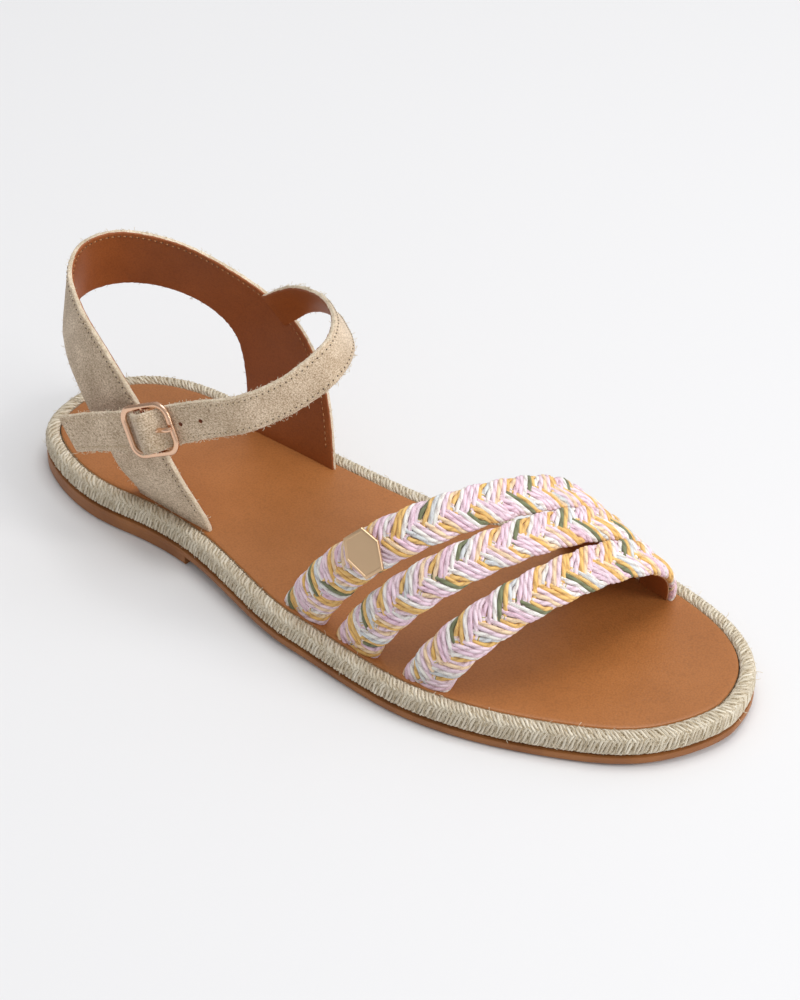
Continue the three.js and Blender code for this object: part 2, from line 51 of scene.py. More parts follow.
print("solids:", sorted(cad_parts))

# %% [markdown]
# ## Small helpers for node trees
# Materials and Geometry Nodes are both trees of nodes. One function adds a node, sets its
# properties and fills its sockets, either with a plain value or with a link from another socket.
# Colours are easier to read as the hex values of a screen, so one function turns them into the
# linear light that a renderer works in.

# %% Helpers for node trees and colours
def node(tree, kind, sockets=None, **settings):
    made = tree.nodes.new(kind)
    for name, value in settings.items():
        setattr(made, name, value)
    for name, value in (sockets or {}).items():
        if isinstance(value, bpy.types.NodeSocket):
            tree.links.new(value, made.inputs[name])
        else:
            made.inputs[name].default_value = value
    return made


def linear(code):
    shares = [int(code[i:i + 2], 16) / 255 for i in (1, 3, 5)]
    light = [s / 12.92 if s <= 0.04045 else ((s + 0.055) / 1.055) ** 2.4 for s in shares]
    return (*light, 1.0)


def set_stops(ramp, stops, interpolation="LINEAR"):
    ramp.color_ramp.interpolation = interpolation
    elements = ramp.color_ramp.elements
    while len(elements) < len(stops):
        elements.new(1.0)
    for element, (position, code) in zip(elements, stops):
        element.position = position
        element.color = linear(code)
    return ramp.outputs["Color"]


def material(name, build):
    made = bpy.data.materials.new(name)
    made.use_nodes = True
    tree = made.node_tree
    tree.nodes.clear()
    node(tree, "ShaderNodeOutputMaterial", {"Surface": build(tree).outputs[0]})
    print("material", name, "with", len(tree.nodes), "nodes")
    return made


# %% [markdown]
# ## Rubber for the outsole
# The outsole is a moulded sheet of tan rubber. It has no grain, so the eye reads it from a soft,
# slightly waxy gloss and from faint clouding that the mould leaves.

# %% Rubber
def tan_rubber(tree):
    place = node(tree, "ShaderNodeTexCoord").outputs["Object"]
    cloud = node(tree, "ShaderNodeTexNoise", {"Vector": place, "Scale": 1 / (12 * MM), "Detail": 4.0})
    colour = set_stops(node(tree, "ShaderNodeValToRGB", {"Fac": cloud.outputs["Fac"]}),
                       [(0.3, "#8C5528"), (0.7, "#A26733")])
    skin = node(tree, "ShaderNodeTexNoise", {"Vector": place, "Scale": 1 / (0.7 * MM), "Detail": 2.0})
    bump = node(tree, "ShaderNodeBump", {"Height": skin.outputs["Fac"], "Strength": 0.25,
                                         "Distance": 0.15 * MM})
    return node(tree, "ShaderNodeBsdfPrincipled", {
        "Base Color": colour, "Roughness": 0.5, "IOR": 1.52, "Normal": bump.outputs["Normal"]})


RUBBER = material("moulded_tan_rubber", tan_rubber)

# %% [markdown]
# ## Leather for the footbed, the lining and cut edges
# The footbed is covered in drum-dyed leather with a fine printed pebble, about 0.6 mm across.
# Cells of a Voronoi texture make the pebbles, with painted shade darkening the valleys between
# them, and noise makes the uneven dye. The lining is the same hide, split thinner and left smoother
# and darker. A cut edge shows the pale core of the hide.

# %% Leather
PEBBLE = 0.6 * MM


def leather(light, dark, roughness, depth):
    def build(tree):
        place = node(tree, "ShaderNodeTexCoord").outputs["Object"]
        dye = node(tree, "ShaderNodeTexNoise", {"Vector": place, "Scale": 1 / (22 * MM),
                                                "Detail": 5.0, "Roughness": 0.6})
        base = set_stops(node(tree, "ShaderNodeValToRGB", {"Fac": dye.outputs["Fac"]}),
                         [(0.3, dark), (0.7, light)])
        cells = node(tree, "ShaderNodeTexVoronoi", {"Vector": place, "Scale": 1 / PEBBLE})
        # Painted shade: the colour darkens towards the cell edges, in the valleys between the pebbles.
        valley_shade = set_stops(node(tree, "ShaderNodeValToRGB", {"Fac": cells.outputs["Distance"]}),
                           [(0.3, "#FFFFFF"), (0.9, "#DEDEDE")])
        colour = node(tree, "ShaderNodeMixRGB", {"Fac": 0.6, "Color1": base, "Color2": valley_shade},
                      blend_type="MULTIPLY")
        bump = node(tree, "ShaderNodeBump", {"Height": cells.outputs["Distance"],
                                             "Strength": 0.5, "Distance": depth}, invert=True)
        return node(tree, "ShaderNodeBsdfPrincipled", {
            "Base Color": colour.outputs["Color"], "Roughness": roughness, "IOR": 1.5,
            "Normal": bump.outputs["Normal"]})
    return build


FOOTBED_LEATHER = material("pebbled_tan_leather", leather("#B5733C", "#A86832", 0.42, 0.07 * MM))
LINING_LEATHER = material("smooth_brown_lining", leather("#A65C29", "#924E1F", 0.5, 0.04 * MM))
CUT_LEATHER = material("cut_edge_of_leather", leather("#DDC09C", "#C9A680", 0.8, 0.1 * MM))

# %% [markdown]
# ## Suede
# Suede is leather sanded on its flesh side. Its nap lies in short strokes that catch the light
# differently, so it looks speckled and has no gloss. Noise stretched along the strap makes the
# strokes, a second noise the blotches that a hand leaves, and a little sheen lights the nap at
# grazing angles. A frayed, paler version serves for the cut edges.

# %% Suede
NAP = 0.38 * MM


def suede(light, middle, dark):
    def build(tree):
        place = node(tree, "ShaderNodeTexCoord").outputs["Object"]
        lay = node(tree, "ShaderNodeMapping", {"Vector": place, "Scale": (0.6, 1.0, 1.0),
                                               "Rotation": (0.0, 0.5, 0.3)})
        nap = node(tree, "ShaderNodeTexNoise", {"Vector": lay.outputs["Vector"],
                                                "Scale": 1 / NAP, "Detail": 3.0,
                                                "Roughness": 0.65})
        speckle = set_stops(node(tree, "ShaderNodeValToRGB", {"Fac": nap.outputs["Fac"]}),
                            [(0.34, dark), (0.5, middle), (0.64, light)])
        hand = node(tree, "ShaderNodeTexNoise", {"Vector": place, "Scale": 1 / (9 * MM),
                                                 "Detail": 3.0})
        blotch = set_stops(node(tree, "ShaderNodeValToRGB", {"Fac": hand.outputs["Fac"]}),
                           [(0.35, "#E4E0DA"), (0.65, "#FFFFFF")])
        colour = node(tree, "ShaderNodeMixRGB", {"Fac": 1.0, "Color1": speckle,
                                                 "Color2": blotch}, blend_type="MULTIPLY")
        bump = node(tree, "ShaderNodeBump", {"Height": nap.outputs["Fac"], "Strength": 0.6,
                                             "Distance": 0.18 * MM})
        return node(tree, "ShaderNodeBsdfPrincipled", {
            "Base Color": colour.outputs["Color"], "Roughness": 0.95, "IOR": 1.45,
            "Sheen Weight": 0.2, "Sheen Roughness": 0.6, "Normal": bump.outputs["Normal"]})
    return build


SUEDE = material("sand_suede", suede("#F2E1C9", "#D7BFA2", "#A0876A"))
CUT_SUEDE = material("cut_edge_of_suede", suede("#F2E6D2", "#E6D4BA", "#CDB798"))

# %% [markdown]
# ## Cord, yarn and thread
# A cord is two or more plies twisted together, and each ply shows as a slanted ridge. The cords
# carry how far a point is along them and around them, so a sine of both gives ridges that wind
# round each one at a real pitch. A third value, the tone, names the cord: dyed cotton takes its
# colour from a ramp of flat steps, and jute only grows a little lighter or darker.

# %% Cord, yarn and thread
COTTON_DYES = [
    "#F8E2EC", "#F5D9E7", "#FAF6F0", "#F4C97E", "#F2C578", "#F7DFEA",
    "#F9DDB8", "#F3DCE8", "#F8F5EE", "#DDE1E2", "#F3C87C", "#7F8564",
    "#F8F5F0", "#F5DBE7", "#F4D3E2", "#F9DDB6", "#F3C676", "#F7E0EA"]


def cord(tones, interpolation, twist, depth, shade, roughness):
    def build(tree):
        read = {label: node(tree, "ShaderNodeAttribute", attribute_name=label).outputs["Fac"]
                for label in ("along", "around", "tone")}
        stops = [(i / len(tones), code) for i, code in enumerate(tones)]
        dye = set_stops(node(tree, "ShaderNodeValToRGB", {"Fac": read["tone"]}), stops,
                        interpolation)
        wind = node(tree, "ShaderNodeMath", {0: read["along"], 1: math.tau / twist},
                    operation="MULTIPLY")
        plies = node(tree, "ShaderNodeMath", {0: read["around"], 1: 2 * math.tau, 2: wind.outputs[0]},
                     operation="MULTIPLY_ADD")
        ridge = node(tree, "ShaderNodeMath", {0: plies.outputs[0]}, operation="SINE")
        place = node(tree, "ShaderNodeTexCoord").outputs["Object"]
        fuzz = node(tree, "ShaderNodeTexNoise", {"Vector": place, "Scale": 1 / (0.4 * MM),
                                                 "Detail": 3.0})
        height = node(tree, "ShaderNodeMath", {0: ridge.outputs[0], 1: 0.35,
                                               2: fuzz.outputs["Fac"]}, operation="MULTIPLY_ADD")
        # Painted shade: the colour darkens where the ridges and fuzz are low, in the grooves between the plies.
        groove_shade = set_stops(node(tree, "ShaderNodeValToRGB", {"Fac": height.outputs[0]}),
                         [(0.05, shade), (0.55, "#FFFFFF")])
        colour = node(tree, "ShaderNodeMixRGB", {"Fac": 1.0, "Color1": dye, "Color2": groove_shade},
                      blend_type="MULTIPLY")
        bump = node(tree, "ShaderNodeBump", {"Height": height.outputs[0], "Strength": 0.7,
                                             "Distance": depth})
        return node(tree, "ShaderNodeBsdfPrincipled", {
            "Base Color": colour.outputs["Color"], "Roughness": roughness, "IOR": 1.5,
            "Sheen Weight": 0.1, "Normal": bump.outputs["Normal"]})
    return build


COTTON = material("dyed_cotton_cord", cord(COTTON_DYES, "CONSTANT", 2.4 * MM, 0.16 * MM,
                                           "#D2C8C8", 0.85))
JUTE = material("plaited_jute_yarn", cord(["#E6DCC8", "#D6CAB3", "#EAE1CE", "#DCD0BA"], "LINEAR",
                                          2.6 * MM, 0.12 * MM, "#BDB19B", 0.95))


# Painted shade: the core is coloured darker than the yarn, so the gaps between the yarns read as shade.
def core_with_painted_shade(tree):
    place = node(tree, "ShaderNodeTexCoord").outputs["Object"]
    fibre = node(tree, "ShaderNodeTexNoise", {"Vector": place, "Scale": 1 / (0.8 * MM), "Detail": 4.0})
    colour = set_stops(node(tree, "ShaderNodeValToRGB", {"Fac": fibre.outputs["Fac"]}),
                       [(0.3, "#9A8B6E"), (0.7, "#C2B496")])
    bump = node(tree, "ShaderNodeBump", {"Height": fibre.outputs["Fac"], "Strength": 0.8,
                                         "Distance": 0.3 * MM})
    return node(tree, "ShaderNodeBsdfPrincipled", {
        "Base Color": colour, "Roughness": 1.0, "Normal": bump.outputs["Normal"]})


def thread(light, dark):
    def build(tree):
        place = node(tree, "ShaderNodeTexCoord").outputs["Object"]
        ply = node(tree, "ShaderNodeTexNoise", {"Vector": place, "Scale": 1 / (0.3 * MM)})
        colour = set_stops(node(tree, "ShaderNodeValToRGB", {"Fac": ply.outputs["Fac"]}),
                           [(0.35, dark), (0.65, light)])
        bump = node(tree, "ShaderNodeBump", {"Height": ply.outputs["Fac"], "Strength": 0.5,
                                             "Distance": 0.05 * MM})
        return node(tree, "ShaderNodeBsdfPrincipled", {
            "Base Color": colour, "Roughness": 0.7, "Normal": bump.outputs["Normal"]})
    return build


CORE_PAINTED_SHADE = material("shaded_jute_core", core_with_painted_shade)
SAND_THREAD = material("sand_sewing_thread", thread("#DCCBAE", "#B39C7C"))
BROWN_THREAD = material("brown_sewing_thread", thread("#C48A58", "#8A5833"))
# Painted shade: dark beads between the stitches stand in for the shade inside the needle holes.
NEEDLE_HOLE_SHADE = material("shaded_needle_hole", thread("#4A3626", "#33241A"))
FIBRE = material("loose_fibre", thread("#EFE4CF", "#CDBE9F"))

# %% [markdown]
# ## Plated metal
# The buckle is die-cast zinc with a polished rose-gold plating, and the small plate on the strap
# has the same plating with a brushed face. Metal has no colour of its own besides its reflection,
# so the base colour is the tint of the plating, and fine noise breaks the gloss as handling does.

# %% Plated metal
def plating(tint, smooth_part, worn_part, scratch):
    def build(tree):
        place = node(tree, "ShaderNodeTexCoord").outputs["Object"]
        stroke = node(tree, "ShaderNodeMapping", {"Vector": place, "Scale": scratch})
        wear = node(tree, "ShaderNodeTexNoise", {"Vector": stroke.outputs["Vector"],
                                                 "Scale": 1 / (2 * MM), "Detail": 4.0})
        rough = node(tree, "ShaderNodeMapRange", {"Value": wear.outputs["Fac"],
                                                  "To Min": smooth_part, "To Max": worn_part})
        bump = node(tree, "ShaderNodeBump", {"Height": wear.outputs["Fac"], "Strength": 0.15,
                                             "Distance": 0.03 * MM})
        return node(tree, "ShaderNodeBsdfPrincipled", {
            "Base Color": linear(tint), "Metallic": 1.0, "Roughness": rough.outputs["Result"],
            "Normal": bump.outputs["Normal"]})
    return build


ROSE_GOLD = material("polished_rose_gold_plating", plating("#EDC3A4", 0.12, 0.3, (1.0, 1.0, 1.0)))
BRUSHED_GOLD = material("brushed_rose_gold_plating", plating("#E3C29C", 0.35, 0.5, (0.3, 6.0, 6.0)))

# %% [markdown]
# ## Curves that follow the last
# A shoe is built on a last, and every piece here follows the same few curves: the outline of the
# sole, the heights of its layers, the surface over the toes and the lines of the two straps.
# They are read from short tables of stations, as a pattern maker notes them, and a Catmull-Rom
# curve runs smoothly through the stations.

# %% Curves through stations
def smooth(t):
    t = np.clip(t, 0.0, 1.0)
    return t * t * (3 - 2 * t)


def unit(vectors):
    return vectors / np.linalg.norm(vectors, axis=-1, keepdims=True)


def through(points, even=False):
    """A curve through the stations, read at shares from 0 to 1."""
    points = np.array(points, float).reshape(len(points), -1)
    known = np.vstack([2 * points[0] - points[1], points, 2 * points[-1] - points[-2]])
    gaps = np.sqrt(np.linalg.norm(np.diff(known, axis=0), axis=1))
    if even:
        gaps = np.ones(len(gaps))

    def read(share):
        place = np.clip(np.atleast_1d(share), 0, 1) * (len(points) - 1)
        i = np.minimum(place.astype(int), len(points) - 2)
        t = (place - i)[:, None]
        a, b, c, d = (known[i + k] for k in range(4))
        g, h, j = (gaps[i + k][:, None] for k in range(3))
        out = ((b - a) / g - (c - a) / (g + h) + (c - b) / h) * h
        back = ((c - b) / h - (d - b) / (h + j) + (d - c) / j) * h
        return (2 * b - 2 * c + out + back) * t**3 + (3 * c - 3 * b - 2 * out - back) * t**2 + out * t + b
    return read


def by_length(read, shares, divisions=400):
    """The curve's own shares at which equal steps of its length end."""
    fine = np.linspace(0, 1, divisions + 1)
    steps = np.linalg.norm(np.diff(read(fine), axis=0), axis=1)
    walked = np.concatenate([[0.0], np.cumsum(steps)])
    return np.interp(np.asarray(shares) * walked[-1], walked, fine), walked[-1]


# %% Outline and heights of the sole
LENGTH, HEEL_WIDTH, BALL_WIDTH, TOE_SHIFT = 250.0, 63.0, 92.0, 4.0
LATERAL = through([1.26, 0.88, 0.7, 0.5, 0.495, 0.578, 0.588, 0.594, 0.41], even=True)
MEDIAL = through([1.14, 0.95, 0.72, 0.42, 0.315, 0.508, 0.588, 0.702, 0.84], even=True)
HEEL_BREAST, LIFT_END, SPRING_START = 0.3 * LENGTH, 0.6 * LENGTH, 0.78 * LENGTH
HEEL_LIFT, TOE_SPRING, SOLE_THICKNESS, GAP, BOARD = 2.6, 1.6, 2.5, 0.3, 6.0
RAND_WIDTH, RAND_HEIGHT = 5.0, 7.2
STATIONS = 120


def outline(turn, side):
    along = (1 - np.cos(np.pi * turn)) / 2
    fullness = (LATERAL if side < 0 else MEDIAL)(turn)[:, 0]
    width = HEEL_WIDTH + (BALL_WIDTH - HEEL_WIDTH) * smooth((along - 0.2) / 0.3)
    reach = np.sin(np.pi * turn) * fullness * width
    return np.stack([along * LENGTH, TOE_SHIFT * along + side * reach], -1)


def rim(inset, last=1.0):
    """Both sides of the outline, heel to toe, moved inward."""
    turns = np.linspace(0, last, STATIONS + 1)
    step = 0.25 / STATIONS
    sides = []
    for side in (-1, 1):
        tangent = unit(outline(turns + step, side) - outline(turns - step, side))
        inward = np.stack([-tangent[:, 1], tangent[:, 0]], -1) * -side
        sides.append(outline(turns, side) + inset * inward)
    return sides


def sole_bottom(x):
    seat = HEEL_LIFT * smooth((LIFT_END - x) / (LIFT_END - HEEL_BREAST))
    return seat + TOE_SPRING * np.clip((x - SPRING_START) / (LENGTH - SPRING_START), 0, 1) ** 2


def sole_top(x):
    return sole_bottom(x) + SOLE_THICKNESS


def footbed_top(x):
    return sole_top(x) + GAP + BOARD


print("outline", np.round(outline(np.array([0.25, 0.5, 0.75]), -1), 1).tolist())

# %% [markdown]
# ## Making and finishing a mesh
# Every piece is a list of points and faces. One function builds the mesh, merges doubled points,
# turns the faces outward and lets flat angles shade smoothly. Another fastens the finished piece
# to the imported model: it rides on the only body and hides the solids it stands for.

# %% Mesh helpers
def solid(name, points, faces, materials, kinds=None):
    mesh = bpy.data.meshes.new(name)
    mesh.from_pydata(((np.asarray(points) + HEEL) * MM).tolist(), [], faces)
    for finish in materials:
        mesh.materials.append(finish)
    if kinds is not None:
        mesh.polygons.foreach_set("material_index", kinds)
    work = bmesh.new()
    work.from_mesh(mesh)
    bmesh.ops.remove_doubles(work, verts=work.verts, dist=0.002 * MM)
    bmesh.ops.recalc_face_normals(work, faces=work.faces)
    work.to_mesh(mesh)
    work.free()
    mesh.shade_smooth()
    mesh.set_sharp_from_angle(angle=math.radians(42))
    piece = bpy.data.objects.new(name, mesh)
    bpy.context.scene.collection.objects.link(piece)
    return piece


def fasten(piece, slot, *nodes):
    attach(piece, "root")
    if nodes:
        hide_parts(*nodes)
    print(piece.name, len(piece.data.polygons), "faces")
    return piece


def merge(name, pieces):
    """Joins finished meshes into one object, with their materials."""
    work = bmesh.new()
    finishes = []
    for piece in pieces:
        first = len(work.faces)
        work.from_mesh(piece.data)
        work.faces.ensure_lookup_table()
        slots = []
        for finish in piece.data.materials:
            if finish not in finishes:
                finishes.append(finish)
            slots.append(finishes.index(finish))
        for face in work.faces[first:]:
            face.material_index = slots[face.material_index]
    mesh = bpy.data.meshes.new(name)
    work.to_mesh(mesh)
    work.free()
    for finish in finishes:
        mesh.materials.append(finish)
    for piece in pieces:
        bpy.data.objects.remove(piece)
    piece = bpy.data.objects.new(name, mesh)
    bpy.context.scene.collection.objects.link(piece)
    return piece


# %% [markdown]
# ## Outsole
# The outsole is cut from a sheet that follows the last, with a lift glued under the heel seat. It
# could be an extruded outline, but its heights change along the foot, so rings of the outline are
# stacked instead. Two small rings at each edge round it as trimming and sanding do.

# %% Outsole
def stack(name, rings, materials, kinds, last=1.0):
    """A plate of rings of the outline, each with its inset and height, closed below and above."""
    loops = []
    for inset, height in rings:
        lateral, medial = rim(inset, last)
        flat = np.vstack([lateral, medial[1:-1][::-1] if last == 1.0 else medial[1:][::-1]])
        level = height(flat[:, 0]) * np.ones(len(flat))
        loops.append(np.column_stack([flat, level]))
    count = len(loops[0])
    faces, marks = [], []
    for i, kind in zip(range(len(loops) - 1), kinds[1:]):
        for j in range(count):
            k = (j + 1) % count
            faces.append((i * count + j, i * count + k, (i + 1) * count + k, (i + 1) * count + j))
            marks.append(kind)
    for first, kind in ((0, kinds[0]), ((len(loops) - 1) * count, kinds[-1])):
        for j in range(STATIONS):
            corners = [j, j + 1, (count - j - 1) % count, (count - j) % count]
            corners = list(dict.fromkeys(corners))
            if len(corners) > 2:
                faces.append(tuple(first + c for c in corners))
                marks.append(kind)
    return solid(name, np.vstack(loops), faces, materials, marks)


SOLE_EDGE = [(0.9, 0.0), (0.25, 0.15), (0.0, 0.7), (0.0, 1.9), (0.2, 2.35), (0.8, 2.5)]
sheet_rings = [(inset, lambda x, up=up: sole_bottom(x) + up) for inset, up in SOLE_EDGE]
sheet = stack("sole_sheet", sheet_rings, [RUBBER], [0] * (len(SOLE_EDGE) + 1))
heel_turn = math.acos(1 - 2 * HEEL_BREAST / LENGTH) / math.pi
LIFT_EDGE = [(0.7, 0.0), (0.15, 0.15), (0.0, 0.6), (0.0, 3.4)]
lift_rings = [(inset, lambda x, up=up: up + 0 * x) for inset, up in LIFT_EDGE]
heel_lift = stack("heel_lift", lift_rings, [RUBBER], [0] * (len(LIFT_EDGE) + 1), heel_turn)
fasten(merge("outsole_rubber", [sheet, heel_lift]), "outsole_rubber", "outsole")

# %% [markdown]
# ## Footbed
# The footbed is a thin board with a leather cover, let into the jute edge. The cover rolls over at
# its rim and stops there, and its cut edge shows as a pale line. It is stacked like the outsole, with
# close rings where the cover rolls over.

# %% Footbed
COVER_INSET = RAND_WIDTH
COVER_EDGE = [(0.5, 0.0), (0.1, 3.0), (0.0, 5.6), (0.04, 6.3), (0.18, 6.6), (0.5, 6.74),
              (1.5, 6.78), (6.0, 6.8)]
cover_rings = [(COVER_INSET + inset, lambda x, up=up: sole_top(x) + GAP + up)
               for inset, up in COVER_EDGE]
footbed = stack("footbed_cover", cover_rings, [FOOTBED_LEATHER, CUT_LEATHER],
                [1, 1, 1, 1, 0, 0, 0, 0, 0])
fasten(footbed, "tan_leather", "footbed")

# %% [markdown]
# ## Geometry Nodes: a plait that follows a path
# A three-strand plait is a rule. Each strand runs straight from one edge to the other, turns there
# and runs back, and its neighbours follow a third of a turn behind. A strand that comes in from an
# edge lies on top, and one that goes out lies below. Here a strand is a flat bundle of thin cords,
# and each cord makes the same run a little later than the one beside it, so the bundle stays flat
# and turns over at the edge like a ribbon. The cords draw together at the edges and at the middle.
# A bundle holds more cords than show, so below the plait, unseen, each cord takes another tone.
# The tree copies the path once for each cord, works out where the cord is at each station, bends
# the plait's face round a bar's section, and sweeps a circle along the result. The path brings two
# vectors for the section, side and rise, as long as the bar's half width and half height there.

# %% The plait's tree
def new_tree(name, inputs):
    tree = bpy.data.node_groups.new(name, "GeometryNodeTree")
    tree.interface.new_socket("Geometry", in_out="INPUT", socket_type="NodeSocketGeometry")
    for label, kind in inputs.items():
        tree.interface.new_socket(label, in_out="INPUT", socket_type="NodeSocket" + kind)
    tree.interface.new_socket("Geometry", in_out="OUTPUT", socket_type="NodeSocketGeometry")
    return tree, node(tree, "NodeGroupInput").outputs


PLAIT_STEPS = [
    ("strand", "DIVIDE", "index", "Cords"),
    ("strand", "FLOOR", "strand"),
    ("lead", "DIVIDE", "strand", "Strands"),
    ("cord", "FLOORED_MODULO", "index", "Cords"),
    ("last", "SUBTRACT", "Cords", 1.0),
    ("offset", "MULTIPLY_ADD", "last", -0.5, "cord"),
    ("share", "DIVIDE", "offset", "Cords"),
    ("share", "MULTIPLY", "share", "share"),
    ("dome", "MULTIPLY_ADD", "share", -4.0, 1.0),
    ("dome", "MULTIPLY", "dome", "Dome"),
    ("period", "DIVIDE", "length", "Legs"),
    ("period", "MULTIPLY", "period", "Strands"),
    ("turns", "DIVIDE", "station", "period"),
    ("turns", "ADD", "turns", "lead"),
    ("leg", "MULTIPLY_ADD", "turns", 2.0, -0.25),
    ("leg", "FLOOR", "leg"),
    ("bundle", "MULTIPLY", "turns", 2 * math.tau),
    ("open", "SINE", "bundle"),
    ("open", "ABSOLUTE", "open"),
    ("rest", "SUBTRACT", 1.0, "Pinch"),
    ("open", "MULTIPLY_ADD", "open", "rest", "Pinch"),
    ("later", "MULTIPLY", "offset", "Cord Spacing"),
    ("later", "MULTIPLY", "later", "open"),
    ("later", "DIVIDE", "later", "period"),
    ("turns", "SUBTRACT", "turns", "later"),
    ("angle", "MULTIPLY", "turns", math.tau),
    ("sine", "SINE", "angle"),
    ("sine", "MULTIPLY", "sine", "Sharpness"),
    ("full", "ARCSINE", "Sharpness"),
    ("run", "ARCSINE", "sine"),
    ("run", "DIVIDE", "run", "full"),
    ("twice", "MULTIPLY", "angle", 2.0),
    ("dip", "SINE", "twice"),
    ("level", "MULTIPLY", "dip", "Lift"),
    ("level", "SUBTRACT", "dome", "level"),
    ("bend", "MULTIPLY_ADD", "run", "Reach Angle", "Middle Angle"),
    ("x", "SINE", "bend"),
    ("y", "COSINE", "bend"),
    ("x_sign", "SIGN", "x"),
    ("y_sign", "SIGN", "y"),
    ("x_size", "ABSOLUTE", "x"),
    ("y_size", "ABSOLUTE", "y"),
    ("x_size", "POWER", "x_size", "Squareness"),
    ("y_size", "POWER", "y_size", "Squareness"),
    ("x_part", "MULTIPLY", "x_sign", "x_size"),
    ("y_part", "MULTIPLY", "y_sign", "y_size"),
    ("all", "MULTIPLY", "Cords", "Strands"),
    ("tone", "ADD", "index", 0.5),
    ("tone", "DIVIDE", "tone", "all"),
    ("tone", "MULTIPLY_ADD", "leg", 0.382, "tone"),
    ("tone", "MULTIPLY_ADD", "Seed", 0.29, "tone"),
    ("tone", "FRACT", "tone"),
]
PLAIT_VECTORS = [
    ("side_unit", "NORMALIZE", "side", None),
    ("rise_unit", "NORMALIZE", "rise", None),
    ("side_part", "SCALE", "side", "x_part"),
    ("rise_part", "SCALE", "rise", "y_part"),
    ("side_out", "SCALE", "side_unit", "x"),
    ("rise_out", "SCALE", "rise_unit", "y"),
    ("out", "ADD", "side_out", "rise_out"),
    ("out", "SCALE", "out", "level"),
    ("point", "ADD", "middle", "side_part"),
    ("point", "ADD", "point", "rise_part"),
    ("point", "ADD", "point", "out"),
]


def plait_tree():
    tree, given = new_tree("plait_along_a_path", {
        "Strands": "Int", "Cords": "Int", "Legs": "Int", "Sides": "Int", "Station Step": "Float",
        "Cord Spacing": "Float", "Cord Radius": "Float", "Lift": "Float", "Dome": "Float",
        "Pinch": "Float", "Sharpness": "Float", "Middle Angle": "Float", "Reach Angle": "Float",
        "Squareness": "Float", "Seed": "Int", "Cord Material": "Material"})
    path = node(tree, "GeometryNodeMeshToCurve", {"Mesh": given["Geometry"]}).outputs["Curve"]
    length = node(tree, "GeometryNodeCurveLength", {"Curve": path}).outputs["Length"]
    line = node(tree, "GeometryNodeResampleCurve", {"Curve": path, "Length": given["Station Step"]},
                mode="LENGTH").outputs["Curve"]
    walked = node(tree, "GeometryNodeSplineParameter").outputs["Length"]
    held = node(tree, "GeometryNodeStoreNamedAttribute", {
        "Geometry": line, "Name": "along", "Value": walked}, data_type="FLOAT").outputs["Geometry"]
    amount = node(tree, "ShaderNodeMath", {0: given["Strands"], 1: given["Cords"]},
                  operation="MULTIPLY").outputs[0]
    copies = node(tree, "GeometryNodeDuplicateElements", {"Geometry": held, "Amount": amount},
                  domain="SPLINE")
    station = node(tree, "GeometryNodeInputNamedAttribute", {"Name": "along"}).outputs["Attribute"]
    index = copies.outputs["Duplicate Index"]
    values = {socket.name: socket for socket in given if socket.name}
    values.update(index=index, station=station, length=length)
    for name, operation, *terms in PLAIT_STEPS:
        filled = {i: values.get(term, term) for i, term in enumerate(terms)}
        values[name] = node(tree, "ShaderNodeMath", filled, operation=operation).outputs[0]
    for label in ("side", "rise"):
        values[label] = node(tree, "GeometryNodeInputNamedAttribute", {"Name": label},
                             data_type="FLOAT_VECTOR").outputs["Attribute"]
    values["middle"] = node(tree, "GeometryNodeInputPosition").outputs["Position"]
    for name, operation, first, second in PLAIT_VECTORS:
        socket = "Scale" if operation == "SCALE" else 1
        filled = {0: values[first]} if second is None else {0: values[first], socket: values[second]}
        values[name] = node(tree, "ShaderNodeVectorMath", filled, operation=operation).outputs[0]
    laid = node(tree, "GeometryNodeSetPosition", {"Geometry": copies.outputs["Geometry"],
                                                  "Position": values["point"]}).outputs["Geometry"]
    toned = node(tree, "GeometryNodeStoreNamedAttribute", {
        "Geometry": laid, "Name": "tone", "Value": values["tone"]}, data_type="FLOAT").outputs["Geometry"]
    uneven = node(tree, "FunctionNodeRandomValue", {2: 0.92, 3: 1.06, "ID": index,
                                                    "Seed": given["Seed"]}, data_type="FLOAT")
    sized = node(tree, "GeometryNodeSetCurveRadius", {"Curve": toned,
                                                      "Radius": uneven.outputs[1]})
    ring = node(tree, "GeometryNodeCurvePrimitiveCircle", {"Resolution": given["Sides"],
                                                           "Radius": given["Cord Radius"]})
    turn = node(tree, "GeometryNodeSplineParameter").outputs["Factor"]
    marked = node(tree, "GeometryNodeStoreNamedAttribute", {
        "Geometry": ring.outputs["Curve"], "Name": "around", "Value": turn}, data_type="FLOAT")
    swept = node(tree, "GeometryNodeCurveToMesh", {
        "Curve": sized.outputs["Curve"], "Profile Curve": marked.outputs["Geometry"],
        "Fill Caps": True}).outputs["Mesh"]
    whole = node(tree, "GeometryNodeRealizeInstances", {"Geometry": swept}).outputs["Geometry"]
    done = node(tree, "GeometryNodeSetMaterial", {"Geometry": whole,
                                                  "Material": given["Cord Material"]})
    node(tree, "NodeGroupOutput", {"Geometry": done.outputs["Geometry"]})
    print("plait tree with", len(tree.nodes), "nodes")
    return tree


PLAIT = plait_tree()

# %% [markdown]
# ## Geometry Nodes: stitches and loose fibres
# A row of lock stitches is one small thread shape repeated along a line at a set spacing, turned to
# the line and to the surface under it. Loose fibres stand on scattered points, each a short bent
# hair with its own turn and size. Both read the direction out of the surface from the points.

